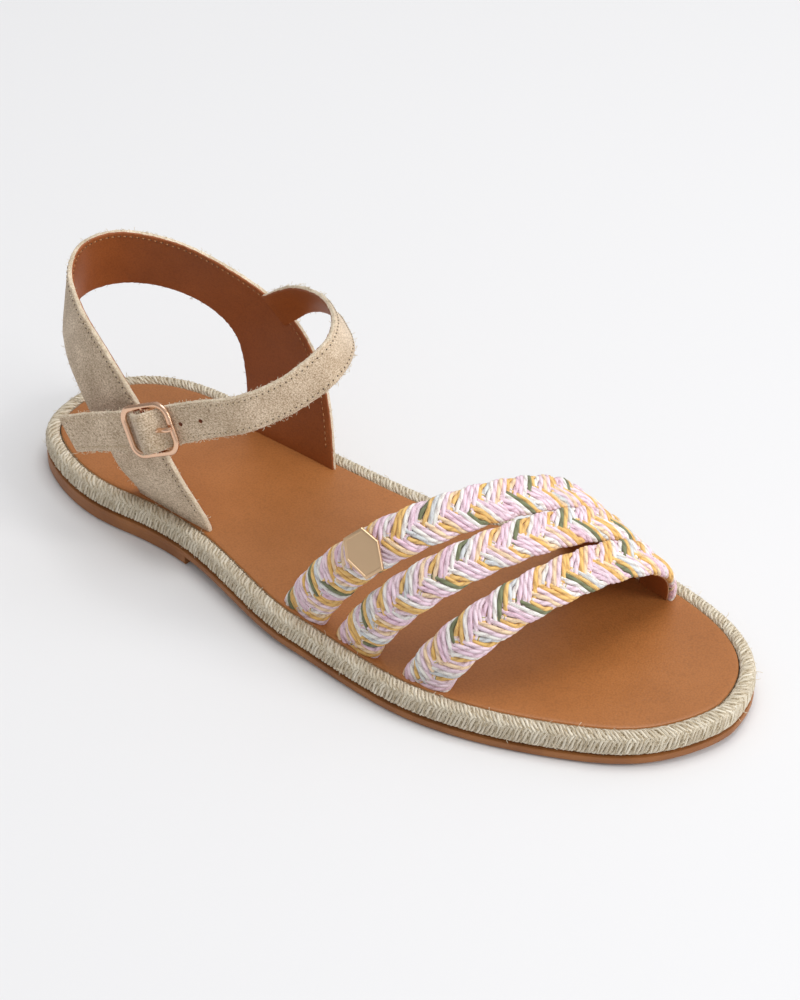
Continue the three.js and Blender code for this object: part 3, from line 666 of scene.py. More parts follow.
# %% Trees for stitches and fibres
def stitch_tree():
    tree, given = new_tree("stitches_along_a_line", {
        "Spacing": "Float", "Stitch Length": "Float", "Thread Radius": "Float",
        "Thread Material": "Material"})
    line = node(tree, "GeometryNodeMeshToCurve", {"Mesh": given["Geometry"]}).outputs["Curve"]
    marks = node(tree, "GeometryNodeResampleCurve", {"Curve": line, "Length": given["Spacing"]},
                 mode="LENGTH").outputs["Curve"]
    out = node(tree, "GeometryNodeInputNamedAttribute", {"Name": "rise"},
               data_type="FLOAT_VECTOR").outputs["Attribute"]
    ahead = node(tree, "GeometryNodeInputTangent").outputs["Tangent"]
    turned = node(tree, "FunctionNodeAxesToRotation", {"Primary Axis": out, "Secondary Axis": ahead},
                  primary_axis="Z", secondary_axis="X").outputs["Rotation"]
    half = node(tree, "ShaderNodeMath", {0: given["Stitch Length"], 1: 0.5}, operation="MULTIPLY")
    size = node(tree, "ShaderNodeCombineXYZ", {"X": half.outputs[0], "Y": given["Thread Radius"],
                                               "Z": given["Thread Radius"]})
    bead = node(tree, "GeometryNodeMeshUVSphere", {"Segments": 7, "Rings": 5, "Radius": 1.0})
    row = node(tree, "GeometryNodeInstanceOnPoints", {
        "Points": marks, "Instance": bead.outputs["Mesh"], "Rotation": turned,
        "Scale": size.outputs["Vector"]})
    whole = node(tree, "GeometryNodeRealizeInstances", {"Geometry": row.outputs["Instances"]})
    soft = node(tree, "GeometryNodeSetShadeSmooth", {"Geometry": whole.outputs["Geometry"]})
    done = node(tree, "GeometryNodeSetMaterial", {"Geometry": soft.outputs["Geometry"],
                                                  "Material": given["Thread Material"]})
    node(tree, "NodeGroupOutput", {"Geometry": done.outputs["Geometry"]})
    return tree


def fibre_tree():
    tree, given = new_tree("loose_fibres_on_points", {
        "Fibre Length": "Float", "Fibre Radius": "Float", "Spread": "Float", "Seed": "Int",
        "Fibre Material": "Material"})
    bends = [node(tree, "ShaderNodeVectorMath", {0: shape, "Scale": given["Fibre Length"]},
                  operation="SCALE").outputs[0] for shape in ((0.1, 0.0, 0.6), (0.6, 0.0, 0.8))]
    hair = node(tree, "GeometryNodeCurveQuadraticBezier", {
        "Resolution": 4, "Start": (0.0, 0.0, 0.0), "Middle": bends[0], "End": bends[1]})
    ring = node(tree, "GeometryNodeCurvePrimitiveCircle", {"Resolution": 3,
                                                           "Radius": given["Fibre Radius"]})
    swept = node(tree, "GeometryNodeCurveToMesh", {"Curve": hair.outputs["Curve"],
                                                   "Profile Curve": ring.outputs["Curve"],
                                                   "Fill Caps": True})
    out = node(tree, "GeometryNodeInputNamedAttribute", {"Name": "rise"},
               data_type="FLOAT_VECTOR").outputs["Attribute"]
    stand = node(tree, "FunctionNodeAlignRotationToVector", {"Vector": out}, axis="Z")
    least = node(tree, "ShaderNodeCombineXYZ", {"Z": -math.pi})
    most = node(tree, "ShaderNodeCombineXYZ", {"X": given["Spread"], "Y": given["Spread"],
                                               "Z": math.pi})
    lean = node(tree, "FunctionNodeRandomValue", {0: least.outputs[0], 1: most.outputs[0],
                                                  "Seed": given["Seed"]}, data_type="FLOAT_VECTOR")
    euler = node(tree, "FunctionNodeEulerToRotation", {"Euler": lean.outputs[0]})
    turned = node(tree, "FunctionNodeRotateRotation", {
        "Rotation": stand.outputs["Rotation"], "Rotate By": euler.outputs["Rotation"]},
        rotation_space="LOCAL")
    size = node(tree, "FunctionNodeRandomValue", {2: 0.5, 3: 1.4, "Seed": given["Seed"]},
                data_type="FLOAT")
    tufts = node(tree, "GeometryNodeInstanceOnPoints", {
        "Points": given["Geometry"], "Instance": swept.outputs["Mesh"],
        "Rotation": turned.outputs["Rotation"], "Scale": size.outputs[1]})
    whole = node(tree, "GeometryNodeRealizeInstances", {"Geometry": tufts.outputs["Instances"]})
    done = node(tree, "GeometryNodeSetMaterial", {"Geometry": whole.outputs["Geometry"],
                                                  "Material": given["Fibre Material"]})
    node(tree, "NodeGroupOutput", {"Geometry": done.outputs["Geometry"]})
    return tree


STITCHES, FIBRES = stitch_tree(), fibre_tree()


def guide(name, points, vectors, joined=True, closed=False):
    """A mesh of bare points or of a line, with a vector attribute for each label."""
    count = len(points)
    edges = [(i, (i + 1) % count) for i in range(count if closed else count - 1)]
    mesh = bpy.data.meshes.new(name)
    mesh.from_pydata(((np.asarray(points) + HEEL) * MM).tolist(), edges if joined else [], [])
    for label, values in vectors.items():
        attribute = mesh.attributes.new(label, "FLOAT_VECTOR", "POINT")
        attribute.data.foreach_set("vector", np.asarray(values, np.float32).ravel())
    piece = bpy.data.objects.new(name, mesh)
    bpy.context.scene.collection.objects.link(piece)
    return piece


def grow(piece, tree, **values):
    """Runs a tree on a guide and keeps the result as its plain mesh."""
    modifier = piece.modifiers.new(tree.name, "NODES")
    modifier.node_group = tree
    for item in tree.interface.items_tree:
        label = item.name.replace(" ", "_").lower()
        if item.in_out == "INPUT" and label in values:
            modifier[item.identifier] = values[label]
    bpy.context.view_layer.update()
    evaluated = piece.evaluated_get(bpy.context.evaluated_depsgraph_get())
    mesh = bpy.data.meshes.new_from_object(evaluated)
    mesh.name = piece.name
    piece.modifiers.clear()
    piece.data = mesh
    mesh.shade_smooth()
    return piece


# %% [markdown]
# ## Jute edge
# The edge is a braid of jute laid round the sole, standing on the outsole against the footbed. Its
# face turns outward and up, so its middle line of dark gaps runs round the shoe near the top. The
# same plait tree makes it on a closed path with a squarish section, over a darker core whose colour
# is painted shade for the gaps between the yarns.

# %% Jute edge
def even_loop(inset, count):
    lateral, medial = rim(inset)
    loop = np.vstack([lateral, medial[1:-1][::-1]])
    closed = np.vstack([loop, loop[:1]])
    walked = np.concatenate([[0.0], np.cumsum(np.linalg.norm(np.diff(closed, axis=0), axis=1))])
    marks = np.linspace(0, walked[-1], count, endpoint=False)
    return np.stack([np.interp(marks, walked, closed[:, i]) for i in range(2)], -1), walked[-1]


RAND_STATIONS = 600
YARN = 0.52
rand_line, rand_length = even_loop(RAND_WIDTH / 2, RAND_STATIONS)
rand_path = np.column_stack([rand_line, sole_top(rand_line[:, 0]) + GAP + RAND_HEIGHT / 2])
ahead = unit(np.roll(rand_path, -1, axis=0) - np.roll(rand_path, 1, axis=0))
outward = unit(np.column_stack([ahead[:, 1], -ahead[:, 0], np.zeros(RAND_STATIONS)]))
upward = np.cross(ahead, -outward)
upward *= np.sign(upward[:, 2:])


def ring_section(half_width, half_height, squareness, count):
    turn = np.linspace(0, math.tau, count, endpoint=False)
    x, y = np.cos(turn), np.sin(turn)
    return [(half_width * np.sign(a) * abs(a) ** squareness, half_height * np.sign(b) * abs(b) ** squareness)
            for a, b in zip(x, y)]


def loft(name, centres, sides, rises, section, materials, closed=False):
    count = len(section)
    rings = [centres + sides * u + rises * v for u, v in section]
    points = np.stack(rings, axis=1).reshape(-1, 3)
    rows = len(centres)
    faces = []
    for i in range(rows if closed else rows - 1):
        for j in range(count):
            k, n = (j + 1) % count, (i + 1) % rows
            faces.append((i * count + j, i * count + k, n * count + k, n * count + j))
    if not closed:
        faces.append(tuple(range(count)))
        faces.append(tuple((rows - 1) * count + j for j in range(count)))
    return solid(name, points, faces, materials)


core_section = ring_section(RAND_WIDTH / 2 - 0.7, RAND_HEIGHT / 2 - 0.6, 0.6, 20)
core = loft("rand_core", rand_path, outward, upward, core_section, [CORE_PAINTED_SHADE], closed=True)
LEG_PITCH = 4.8
legs = 3 * round(rand_length / LEG_PITCH / 3)
reach = (RAND_WIDTH / 2 - YARN - 0.15) * MM, (RAND_HEIGHT / 2 - YARN - 0.15) * MM
braid = guide("rand_braid", rand_path, {"side": outward * reach[0], "rise": upward * reach[1]},
              closed=True)
grow(braid, PLAIT, strands=3, cords=4, legs=legs, sides=6, station_step=0.8 * MM,
     cord_spacing=1.22 * MM, cord_radius=YARN * MM, lift=0.3 * MM, dome=0.12 * MM, pinch=0.85,
     sharpness=0.97, middle_angle=math.radians(52), reach_angle=math.radians(112),
     squareness=0.6, seed=3, cord_material=JUTE)
rng = np.random.default_rng(11)
pick = rng.integers(0, RAND_STATIONS, 520)
spin = rng.uniform(-0.4, 2.6, 520)[:, None]
out = unit(np.cos(spin) * outward[pick] + np.sin(spin) * upward[pick])
roots = rand_path[pick] + outward[pick] * np.cos(spin) * 2.3 + upward[pick] * np.sin(spin) * 3.3
hairs = guide("rand_fibres", roots, {"rise": out}, joined=False)
grow(hairs, FIBRES, fibre_length=2.2 * MM, fibre_radius=0.06 * MM, spread=0.9, seed=5,
     fibre_material=FIBRE)
fasten(core, "jute_rope", "rope_rand")
fasten(braid, "jute_rope")
fasten(hairs, "jute_rope")

# %% [markdown]
# ## Vamp straps
# Each of the three straps over the toes is a plait of cotton cords on a strip of lining leather.
# They rise from between the footbed and the jute edge, part on the outer side of the foot and
# close up on the inner side. The surface over the toes is an arch from side to side, and each edge
# of a strap is a bent line across it.

# %% Surface and frames of the vamp straps
STRAP_DEPTH, SUNK = 4.6, 3.6
seat_sides = rim(RAND_WIDTH + GAP + STRAP_DEPTH / 2)
VAMP = {
    "rear": ((0.47, 0.768, 0.667), (0.53, 0.806, 0.721)),
    "middle": ((0.554, 0.806, 0.721), (0.614, 0.832, 0.784)),
    "front": ((0.658, 0.832, 0.784), (0.714, 0.872, 0.836)),
}


def instep(x, across):
    angle = across * math.pi / 2
    base = footbed_top(x) - 1
    crown = 52 - 0.53 * (x - 0.7 * LENGTH) - base
    lateral, medial = (np.interp(x, side[:, 0], side[:, 1]) for side in seat_sides)
    y = (lateral + medial) / 2 + (medial - lateral) / 2 * np.sin(angle)
    return np.stack([x, y, base + crown * np.abs(np.cos(angle)) ** 0.85], -1)


def vamp_point(edges, t, w):
    rear, front = (LENGTH * (a * (1 - t)**2 + 2 * b * t * (1 - t) + c * t**2) for a, b, c in edges)
    x = (rear + GAP) * (1 - w) / 2 + (front - GAP) * (1 + w) / 2
    return instep(x, 2 * t - 1)


def vamp_frames(edges, count):
    """Even frames along a strap, with its two ends sunk beside the footbed."""
    t, arch = by_length(lambda s: vamp_point(edges, s, 0), np.linspace(0, 1, count))
    step = 0.004
    tangent = unit(vamp_point(edges, np.minimum(t + step, 1), 0)
                   - vamp_point(edges, np.maximum(t - step, 0), 0))
    across = vamp_point(edges, t, 1) - vamp_point(edges, t, -1)
    across -= tangent * np.sum(across * tangent, axis=1, keepdims=True)
    half = np.linalg.norm(across, axis=1) / 2
    centre = vamp_point(edges, t, 0)
    normal = unit(np.cross(across, tangent))
    away = np.sum(normal * (centre - [0, TOE_SHIFT / 2, 0]) * [0, 1, 1], axis=1)
    normal *= np.sign(away)[:, None]
    pad = 3
    drop = np.outer(np.linspace(SUNK, SUNK / pad, pad), [0, 0, 1.0])
    centre = np.vstack([centre[:1] - drop, centre, centre[-1:] - drop[::-1]])
    grown = [np.vstack([rows[:1].repeat(pad, 0), rows, rows[-1:].repeat(pad, 0)])
             for rows in (tangent, unit(across), normal, half[:, None])]
    return {"centre": centre, "tangent": grown[0], "across": grown[1], "normal": grown[2],
            "half": grown[3][:, 0], "length": arch + 2 * SUNK}


# %% [markdown]
# ## Bands of leather and suede
# The lining strips, the heel sling and the ankle strap are all flat bands with two faces and two
# cut edges. One function sweeps the same section along the frames of any of them: it gives each
# face and edge its own material, pads the outer face a little, and lets the cut edges fray by a
# fraction of a millimetre. A second function finds points on a band for stitches and fibres.

# %% Bands
def band_point(band, share, k, lift, thickness):
    rows = np.linspace(0, 1, len(band["centre"]))
    share, k = np.broadcast_arrays(np.asarray(share, float), np.asarray(k, float))
    centre, across, normal = (
        np.stack([np.interp(share, rows, band[label][:, i]) for i in range(3)], -1)
        for label in ("centre", "across", "normal"))
    half = np.interp(share, rows, band["half"])[..., None]
    return centre + across * half * k[..., None] + unit(normal) * (lift + thickness / 2), unit(normal)


def make_band(name, band, thickness, finishes, fray=0.0, pad=0.0, columns=12):
    """finishes: inner face, cut edge, outer face."""
    corner = 0.3 * thickness
    low, high = thickness / 2 - corner, [math.radians(a) for a in (10, 55)]
    inner_corner = [(corner * math.cos(a), -low - corner * math.sin(a)) for a in high[::-1]]
    outer_corner = [(corner * math.cos(a), low + corner * math.sin(a)) for a in high]
    section = [(k, 0.0, -thickness / 2, 0) for k in np.linspace(-1, 1, columns + 1)]
    section += [(1.0, du, v, kind) for (du, v), kind in zip(inner_corner, (0, 1))]
    section += [(1.0, du, v, kind) for (du, v), kind in zip(outer_corner, (1, 2))]
    section += [(k, 0.0, thickness / 2 + pad * (1 - k**4), 2)
                for k in np.linspace(1, -1, columns + 1)]
    section += [(-1.0, -du, v, 1) for du, v in outer_corner[::-1]]
    section += [(-1.0, -du, v, 0) for du, v in inner_corner[::-1]]
    rows, count = len(band["centre"]), len(section)
    half = band["half"][:, None]
    rng = np.random.default_rng(len(name))
    rings = []
    for k, du, v, kind in section:
        rough = fray * rng.normal(size=(rows, 1)) * abs(np.sign(du))
        u = k * (half - corner) + du + np.sign(du) * rough
        rings.append(band["centre"] + band["across"] * u + band["normal"] * v)
    points = np.stack(rings, axis=1).reshape(-1, 3)
    faces, kinds = [], []
    for i in range(rows - 1):
        for j in range(count):
            n = (j + 1) % count
            faces.append((i * count + j, i * count + n, (i + 1) * count + n, (i + 1) * count + j))
            kinds.append(section[j][3])
    faces += [tuple(range(count)), tuple((rows - 1) * count + j for j in range(count))]
    return solid(name, points, faces, finishes, kinds + [1, 1])


def sew(name, band, thickness, runs, lift, finish, spacing=1.9, stitch=1.2):
    """Rows of stitches with a dark bead of painted shade for a needle hole between each two. A run
    is share from, share to, place across from, place across to."""
    rows = []
    for i, (start, end, k_start, k_end) in enumerate(runs):
        # The second row is painted shade: dark beads where the needle holes are.
        for label, delay, size, radius, sunk, stuff in (
                ("thread", 0.0, stitch, 0.25, 0.0, finish), ("hole", 0.5, 0.62, 0.27, 0.08, NEEDLE_HOLE_SHADE)):
            t = np.linspace(delay * spacing / (band["length"] * abs(end - start) + 20), 1, 200)
            inside = lift < -thickness / 2
            points, out = band_point(band, start + (end - start) * t, k_start + (k_end - k_start) * t,
                                     lift + (sunk if inside else -sunk), thickness)
            row = guide(f"{name}_{label}_{i}", points, {"rise": -out if inside else out})
            rows.append(grow(row, STITCHES, spacing=spacing * MM, stitch_length=size * MM,
                             thread_radius=radius * MM, thread_material=stuff))
    return merge(name, rows)


# %% Vamp straps
CORD = 0.72
LINING = 1.1
for seed, (label, edges) in enumerate(VAMP.items()):
    frames = vamp_frames(edges, 120)
    lining = dict(frames, centre=frames["centre"] - frames["normal"] * (STRAP_DEPTH - LINING) / 2,
                  half=frames["half"] - 0.5)
    strip = make_band(f"vamp_{label}_lining", lining, LINING, [LINING_LEATHER, CUT_LEATHER,
                                                              LINING_LEATHER])
    side = frames["across"] * (frames["half"][:, None] - CORD) * MM
    rise = frames["normal"] * 1.6 * MM
    middle = frames["centre"] - frames["normal"] * 1.3
    plait = guide(f"vamp_{label}_plait", middle[::-1], {"side": side[::-1], "rise": rise[::-1]})
    grow(plait, PLAIT, strands=3, cords=6, legs=round(frames["length"] / 9.5), sides=8,
         station_step=0.9 * MM, cord_spacing=1.75 * MM, cord_radius=CORD * MM, lift=0.82 * MM,
         dome=0.75 * MM, pinch=0.72, sharpness=0.95, middle_angle=0.0,
         reach_angle=math.radians(84), squareness=0.85, seed=seed, cord_material=COTTON)
    fasten(plait, "cotton_plait", f"vamp_strap_{label}")
    fasten(strip, "tan_leather")

# %% [markdown]
# ## Heel sling
# The sling is a wide band of suede with a leather lining. It rises from the footbed on both sides
# and runs round the back of the heel, leaning inward at its top. Its two edges are each a curve
# through stations measured along the sole, across the heel and up from the floor.

# %% Heel sling
HALF_HEEL, SLING_TOP, SLING_DEPTH = HEEL_WIDTH / 2, 75.0, 2.2
SLING_REAR = [(0.186, -0.85, 0.3), (0.16, -0.84, 0.42), (0.112, -0.69, 0.525), (0.065, -0.47, 0.605),
              (0.031, -0.18, 0.663), (0.023, 0.14, 0.7), (0.045, 0.47, 0.715), (0.09, 0.75, 0.695),
              (0.142, 0.94, 0.627), (0.179, 1.02, 0.512), (0.2, 0.97, 0.333)]
SLING_FRONT = [(0.293, -0.9, 0.4), (0.23, -0.85, 0.645), (0.163, -0.71, 0.797), (0.097, -0.5, 0.885),
               (0.049, -0.21, 0.94), (0.035, 0.08, 0.98), (0.053, 0.4, 0.995), (0.107, 0.71, 0.96),
               (0.183, 0.94, 0.862), (0.273, 1.08, 0.685), (0.331, 0.95, 0.463)]
sling_seat = rim(RAND_WIDTH + 4 * GAP + SLING_DEPTH / 2)


def sling_edge(stations, lateral_x, medial_x):
    points = [np.array([a * LENGTH, s * HALF_HEEL, u * SLING_TOP]) for a, s, u in stations]
    feet = []
    for x, side in ((lateral_x * LENGTH, sling_seat[0]), (medial_x * LENGTH, sling_seat[1])):
        y = np.interp(x, side[:, 0], side[:, 1])
        feet.append([np.array([x, y, footbed_top(x) + up]) for up in (-SUNK, SUNK / 2)])
    return through([*feet[0], *points, *feet[1][::-1]])


rear_edge, front_edge = sling_edge(SLING_REAR, 0.202, 0.222), sling_edge(SLING_FRONT, 0.323, 0.367)


def sling_middle(t):
    return (rear_edge(t) + front_edge(t)) / 2


def sling_frames(count):
    t, length = by_length(sling_middle, np.linspace(0, 1, count))
    tangent = unit(sling_middle(np.minimum(t + 0.002, 1)) - sling_middle(np.maximum(t - 0.002, 0)))
    across = front_edge(t) - rear_edge(t)
    half = np.linalg.norm(across, axis=1) / 2
    normal = unit(np.cross(across, tangent))
    return {"centre": sling_middle(t), "tangent": tangent, "across": unit(across),
            "normal": normal, "half": half, "length": length}


BAND_DEPTH = 1.8
sling = sling_frames(220)
sling_band = make_band("heel_sling_band", sling, BAND_DEPTH, [LINING_LEATHER, CUT_SUEDE, SUEDE],
                       fray=0.06, pad=0.15, columns=16)
fasten(sling_band, "sand_suede", "heel_sling")
TOP_SEAM = 0.86
seam_outside = sew("heel_sling_seam", sling, BAND_DEPTH, [(0.05, 0.95, TOP_SEAM, TOP_SEAM)], 0.06,
                   SAND_THREAD)
seam_inside = sew("heel_sling_lining_seam", sling, BAND_DEPTH,
                  [(0.05, 0.95, TOP_SEAM, TOP_SEAM)], -BAND_DEPTH - 0.05, BROWN_THREAD)
fasten(seam_outside, "sand_suede")
fasten(seam_inside, "sand_suede")

# %% [markdown]
# ## Ankle strap
# The strap is sewn inside the inner leg of the sling, crosses the front of the ankle and comes back
# to the buckle on the outer side. It passes under the buckle's two outer bars and over its centre
# bar, and ends in a square-cut tip. Real holes are cut through it with a Boolean, because they show
# from both faces.

# %% Ankle strap
STRAP_WIDTH, STRAP_THICKNESS, ANKLE_TOP, ANKLE_REACH = 12.5, 1.8, 82.0, 115.0
BUCKLE_LENGTH, BUCKLE_EASE, WIRE, BAR, TAB = 19.2, 0.2, 1.8, 1.6, 0.8
BUCKLE_AT = 0.792
ANKLE = [(0.42, 0.9, 0.56, 3), (0.526, 0.91, 0.642, 9), (0.64, 0.93, 0.762, 31),
         (0.752, 0.792, 0.847, 33.5), (0.859, 0.507, 0.92, 28.5), (0.944, 0.189, 0.954, 27),
         (0.982, -0.166, 0.951, 18.5), (0.938, -0.536, 0.872, 4.5), (0.847, -0.831, 0.79, 0.5),
         (0.724, -0.982, 0.717, 3.5), (0.604, -1.051, 0.627, 9), (0.492, -1.095, 0.549, 9),
         (0.387, -1.085, 0.477, 5), (0.282, -1.061, 0.394, -4)]
ankle_line = through([(a * ANKLE_REACH, s * HALF_HEEL, u * ANKLE_TOP) for a, s, u, _ in ANKLE])
ankle_lean = through([row[3] for row in ANKLE], even=True)
ANKLE_AXIS = np.array([0.25 * LENGTH, 0.0, 0.0])
FRAME_HEIGHT = STRAP_THICKNESS / 2 + GAP + WIRE / 2 + 0.15
LOOP = BAR / 2 + GAP + TAB
STRAP_RISE = FRAME_HEIGHT + LOOP + GAP + STRAP_THICKNESS / 2
RISE_HALF = (BUCKLE_LENGTH - WIRE) / 2 - GAP


def ankle_frames(shares):
    t, length = by_length(ankle_line, shares)
    centre = ankle_line(t)
    tangent = unit(ankle_line(np.minimum(t + 0.001, 1)) - ankle_line(np.maximum(t - 0.001, 0)))
    outward = (centre - ANKLE_AXIS) * [1, 1, 0]
    outward -= tangent * np.sum(outward * tangent, axis=1, keepdims=True)
    up = np.array([0.0, 0.0, 1.0]) - tangent * tangent[:, 2:]
    outward -= up * (np.sum(outward * up, axis=1) / np.sum(up * up, axis=1))[:, None]
    outward, up = unit(outward), unit(up)
    lean = np.radians(ankle_lean(t))
    across = up * np.cos(lean) - outward * np.sin(lean)
    normal = unit(outward - across * np.sum(outward * across, axis=1, keepdims=True))
    return {"centre": centre, "tangent": tangent, "across": across, "normal": normal,
            "half": np.full(len(centre), STRAP_WIDTH / 2), "length": length}


def strap_frames(count):
    shares = np.linspace(0, 1, count)
    frames = ankle_frames(shares)
    distance = (shares - BUCKLE_AT) * frames["length"]
    inside = np.abs(distance) < RISE_HALF
    rise = STRAP_RISE * np.cos(math.pi * distance / (2 * RISE_HALF)) ** 2 * inside
    frames["centre"] = frames["centre"] + frames["normal"] * rise[:, None]
    step = np.gradient(frames["centre"], axis=0)
    frames["tangent"] = unit(step)
    frames["normal"] = unit(np.cross(frames["tangent"], frames["across"]))
    facing = np.sum(frames["normal"] * (frames["centre"] - ANKLE_AXIS) * [1, 1, 0], axis=1)
    frames["normal"] *= np.sign(facing)[:, None]
    return frames


LAP = 1.6


def tuck(frames, band):
    """Lays the strap's first end against the lining of the band it is sewn to, and trims it there."""
    k = np.linspace(-1, 1, 41)
    grid = band["centre"][:, None] + band["across"][:, None] * (band["half"][:, None] * k)[..., None]
    count = len(frames["centre"])
    nearest = [np.argmin(np.linalg.norm(grid - centre, axis=2)) for centre in frames["centre"][:count // 3]]
    row, column = np.divmod(nearest, len(k))
    leaves = int(np.argmax((column == len(k) - 1) & (np.arange(len(column)) > 5)))
    start = max(leaves - count // 80, 0)
    held = np.minimum(np.arange(count), leaves)
    shift = np.sum((grid[row, column] - frames["centre"][:len(row)]) * frames["normal"][:len(row)], axis=1)
    shift -= np.sign(shift) * np.minimum(np.abs(shift), LAP)
    weight = 1 - smooth((np.arange(count) - leaves) / (count * 0.22))
    frames["centre"] = frames["centre"] + frames["normal"] * (shift[held] * weight)[:, None]
    print("strap leaves the band at row", leaves, "shift", round(float(shift[leaves]), 2), "mm")
    lost = start / (count - 1)
    for label in ("centre", "tangent", "across", "normal", "half"):
        frames[label] = frames[label][start:]
    return frames, lost


strap, LOST = tuck(strap_frames(320), sling)


def strap_share(share):
    return (share - LOST) / (1 - LOST)


STRAP_DEPTH_SEEN = 1.6
ankle_band = make_band("ankle_strap_band", strap, STRAP_DEPTH_SEEN,
                       [LINING_LEATHER, CUT_SUEDE, SUEDE], fray=0.07, pad=0.12, columns=14)


def drill(piece, places, radius):
    """Cuts round holes through a band at the given distances before the buckle's bar."""
    cutter = bmesh.new()
    for distance in places:
        share = strap_share(BUCKLE_AT - distance / strap["length"])
        point, out = band_point(strap, share, 0.0, -STRAP_THICKNESS / 2, STRAP_THICKNESS)
        turn = Vector(out).to_track_quat("Z", "Y").to_matrix().to_4x4()
        where = Matrix.Translation(Vector((point + HEEL) * MM)) @ turn
        bmesh.ops.create_cone(cutter, cap_ends=True, segments=14, radius1=radius * MM,
                              radius2=radius * MM, depth=4 * STRAP_THICKNESS * MM, matrix=where)
    mesh = bpy.data.meshes.new("hole_cutter")
    cutter.to_mesh(mesh)
    cutter.free()
    mesh.materials.append(LINING_LEATHER)
    tool = bpy.data.objects.new("hole_cutter", mesh)
    bpy.context.scene.collection.objects.link(tool)
    cut = piece.modifiers.new("holes", "BOOLEAN")
    cut.object, cut.solver, cut.operation = tool, "EXACT", "DIFFERENCE"
    bpy.context.view_layer.update()
    evaluated = piece.evaluated_get(bpy.context.evaluated_depsgraph_get())
    result = bpy.data.meshes.new_from_object(evaluated)
    piece.modifiers.clear()
    piece.data = result
    bpy.data.objects.remove(tool)


drill(ankle_band, (-4.5, 4.2, 11.5, 19.0), 0.7)
fasten(ankle_band, "sand_suede", "ankle_strap")
SEAM = 1 - 1.6 / (STRAP_WIDTH / 2)
strap_seam = sew("ankle_strap_seam", strap, STRAP_DEPTH_SEEN, [
    (0.05, 0.985, SEAM, SEAM), (0.05, 0.985, -SEAM, -SEAM), (0.985, 0.985, SEAM, -SEAM)], 0.1,
    SAND_THREAD)
fasten(strap_seam, "sand_suede")

# %% [markdown]
# ## Frayed edges
# Cut suede sheds its nap along the edge, and in the photograph this light fuzz softens both
# edges of the straps. Scattered points along the edges carry the fibre tree's short hairs.

# %% Frayed edges
def fuzz(name, band, thickness, count, seed):
    rng = np.random.default_rng(seed)
    share = rng.uniform(0.03, 0.995, count)
    side = rng.choice([-1.0, 1.0], count)
    lift = rng.uniform(-0.8, 0.1, count)[:, None] * thickness
    points, out = band_point(band, share, side * 0.985, lift, thickness)
    rows = np.linspace(0, 1, len(band["centre"]))
    across = np.stack([np.interp(share, rows, band["across"][:, i]) for i in range(3)], -1)
    stand = unit(across * side[:, None] + 0.5 * out)
    tufts = guide(name, points, {"rise": stand}, joined=False)
    return grow(tufts, FIBRES, fibre_length=0.9 * MM, fibre_radius=0.055 * MM, spread=0.8,
                seed=seed, fibre_material=FIBRE)


fasten(fuzz("heel_sling_fuzz", sling, BAND_DEPTH, 900, 21), "sand_suede")
fasten(fuzz("ankle_strap_fuzz", strap, STRAP_DEPTH_SEEN, 900, 22), "sand_suede")

# %% [markdown]
# ## Buckle and plate
# The buckle is a bent frame of polished wire with a centre bar. Its prong is a ring round the bar
# with an arm that comes up through the strap and rests on the front bar. The buckle's axes are the
# strap's own at that place. The small six-sided plate on the rear strap is left bare.

# %% Buckle
place = ankle_frames(np.array([BUCKLE_AT]))
front_way, up_way, out_way = -place["tangent"][0], place["across"][0], place["normal"][0]
bar_centre = place["centre"][0] + out_way * FRAME_HEIGHT
BUCKLE_WIDTH = STRAP_WIDTH + 2 * GAP + 2 * WIRE + BUCKLE_EASE


def on_buckle(points):
    points = np.asarray(points, float)
    return bar_centre + points @ np.stack([front_way, up_way, out_way])


def wire(name, path, half_wide, half_high, closed, sides=12):
    """Sweeps an oval along a path drawn in the buckle's axes, z outward."""
    path = np.asarray(path, float)
    if closed:
        tangent = unit(np.roll(path, -1, axis=0) - np.roll(path, 1, axis=0))
    else:
        tangent = unit(np.gradient(path, axis=0))
    side = unit(np.cross(tangent, [0.0, 1.0, 0.0] if not closed else [0.0, 0.0, 1.0]))
    rise = np.cross(side, tangent)
    basis = np.stack([front_way, up_way, out_way])
    turn = np.linspace(0, math.tau, sides, endpoint=False)
    section = [(half_wide * math.cos(a), half_high * math.sin(a)) for a in turn]
    return loft(name, on_buckle(path), side @ basis, rise @ basis, section, [ROSE_GOLD], closed)


half_x, half_y = (BUCKLE_LENGTH - WIRE) / 2, (BUCKLE_WIDTH - WIRE) / 2
corner = 0.22 * BUCKLE_WIDTH
loop = []
for (sign_x, sign_y), start in zip(((1, 1), (-1, 1), (-1, -1), (1, -1)), range(4)):
    for a in np.linspace(start, start + 1, 9) * math.pi / 2:
        loop.append((sign_x * (half_x - corner) + corner * math.cos(a),
                     sign_y * (half_y - corner) + corner * math.sin(a), 0.0))
ring_frame = wire("buckle_ring", loop, WIRE / 2 * 1.12, WIRE / 2 * 0.85, True)
bar_path = [(0.0, y, 0.0) for y in np.linspace(-half_y, half_y, 9)]
turn = np.linspace(0, math.tau, 12, endpoint=False)
centre_bar = loft("buckle_bar", on_buckle(bar_path), np.tile(front_way, (9, 1)),
                  np.tile(out_way, (9, 1)),
                  [(BAR / 2 * math.cos(a), BAR / 2 * math.sin(a)) for a in turn], [ROSE_GOLD])
fasten(merge("buckle_frame_wire", [ring_frame, centre_bar]), "pale_brass", "buckle_frame")
PRONG = 1.5
eye = [((BAR / 2 + GAP + PRONG / 3) * math.cos(a), 0.0, (BAR / 2 + GAP + PRONG / 3) * math.sin(a))
       for a in np.linspace(-math.pi, 0.45 * math.pi, 20)]
arm = through([eye[-1], (2.4, 0, 1.6), (4.4, 0, 1.1), (6.2, 0, 1.5), (7.8, 0, 2.1), (9.2, 0, 2.1), (10.0, 0, 1.6)])
prong_path = np.vstack([eye[:-1], arm(np.linspace(0, 1, 20))])
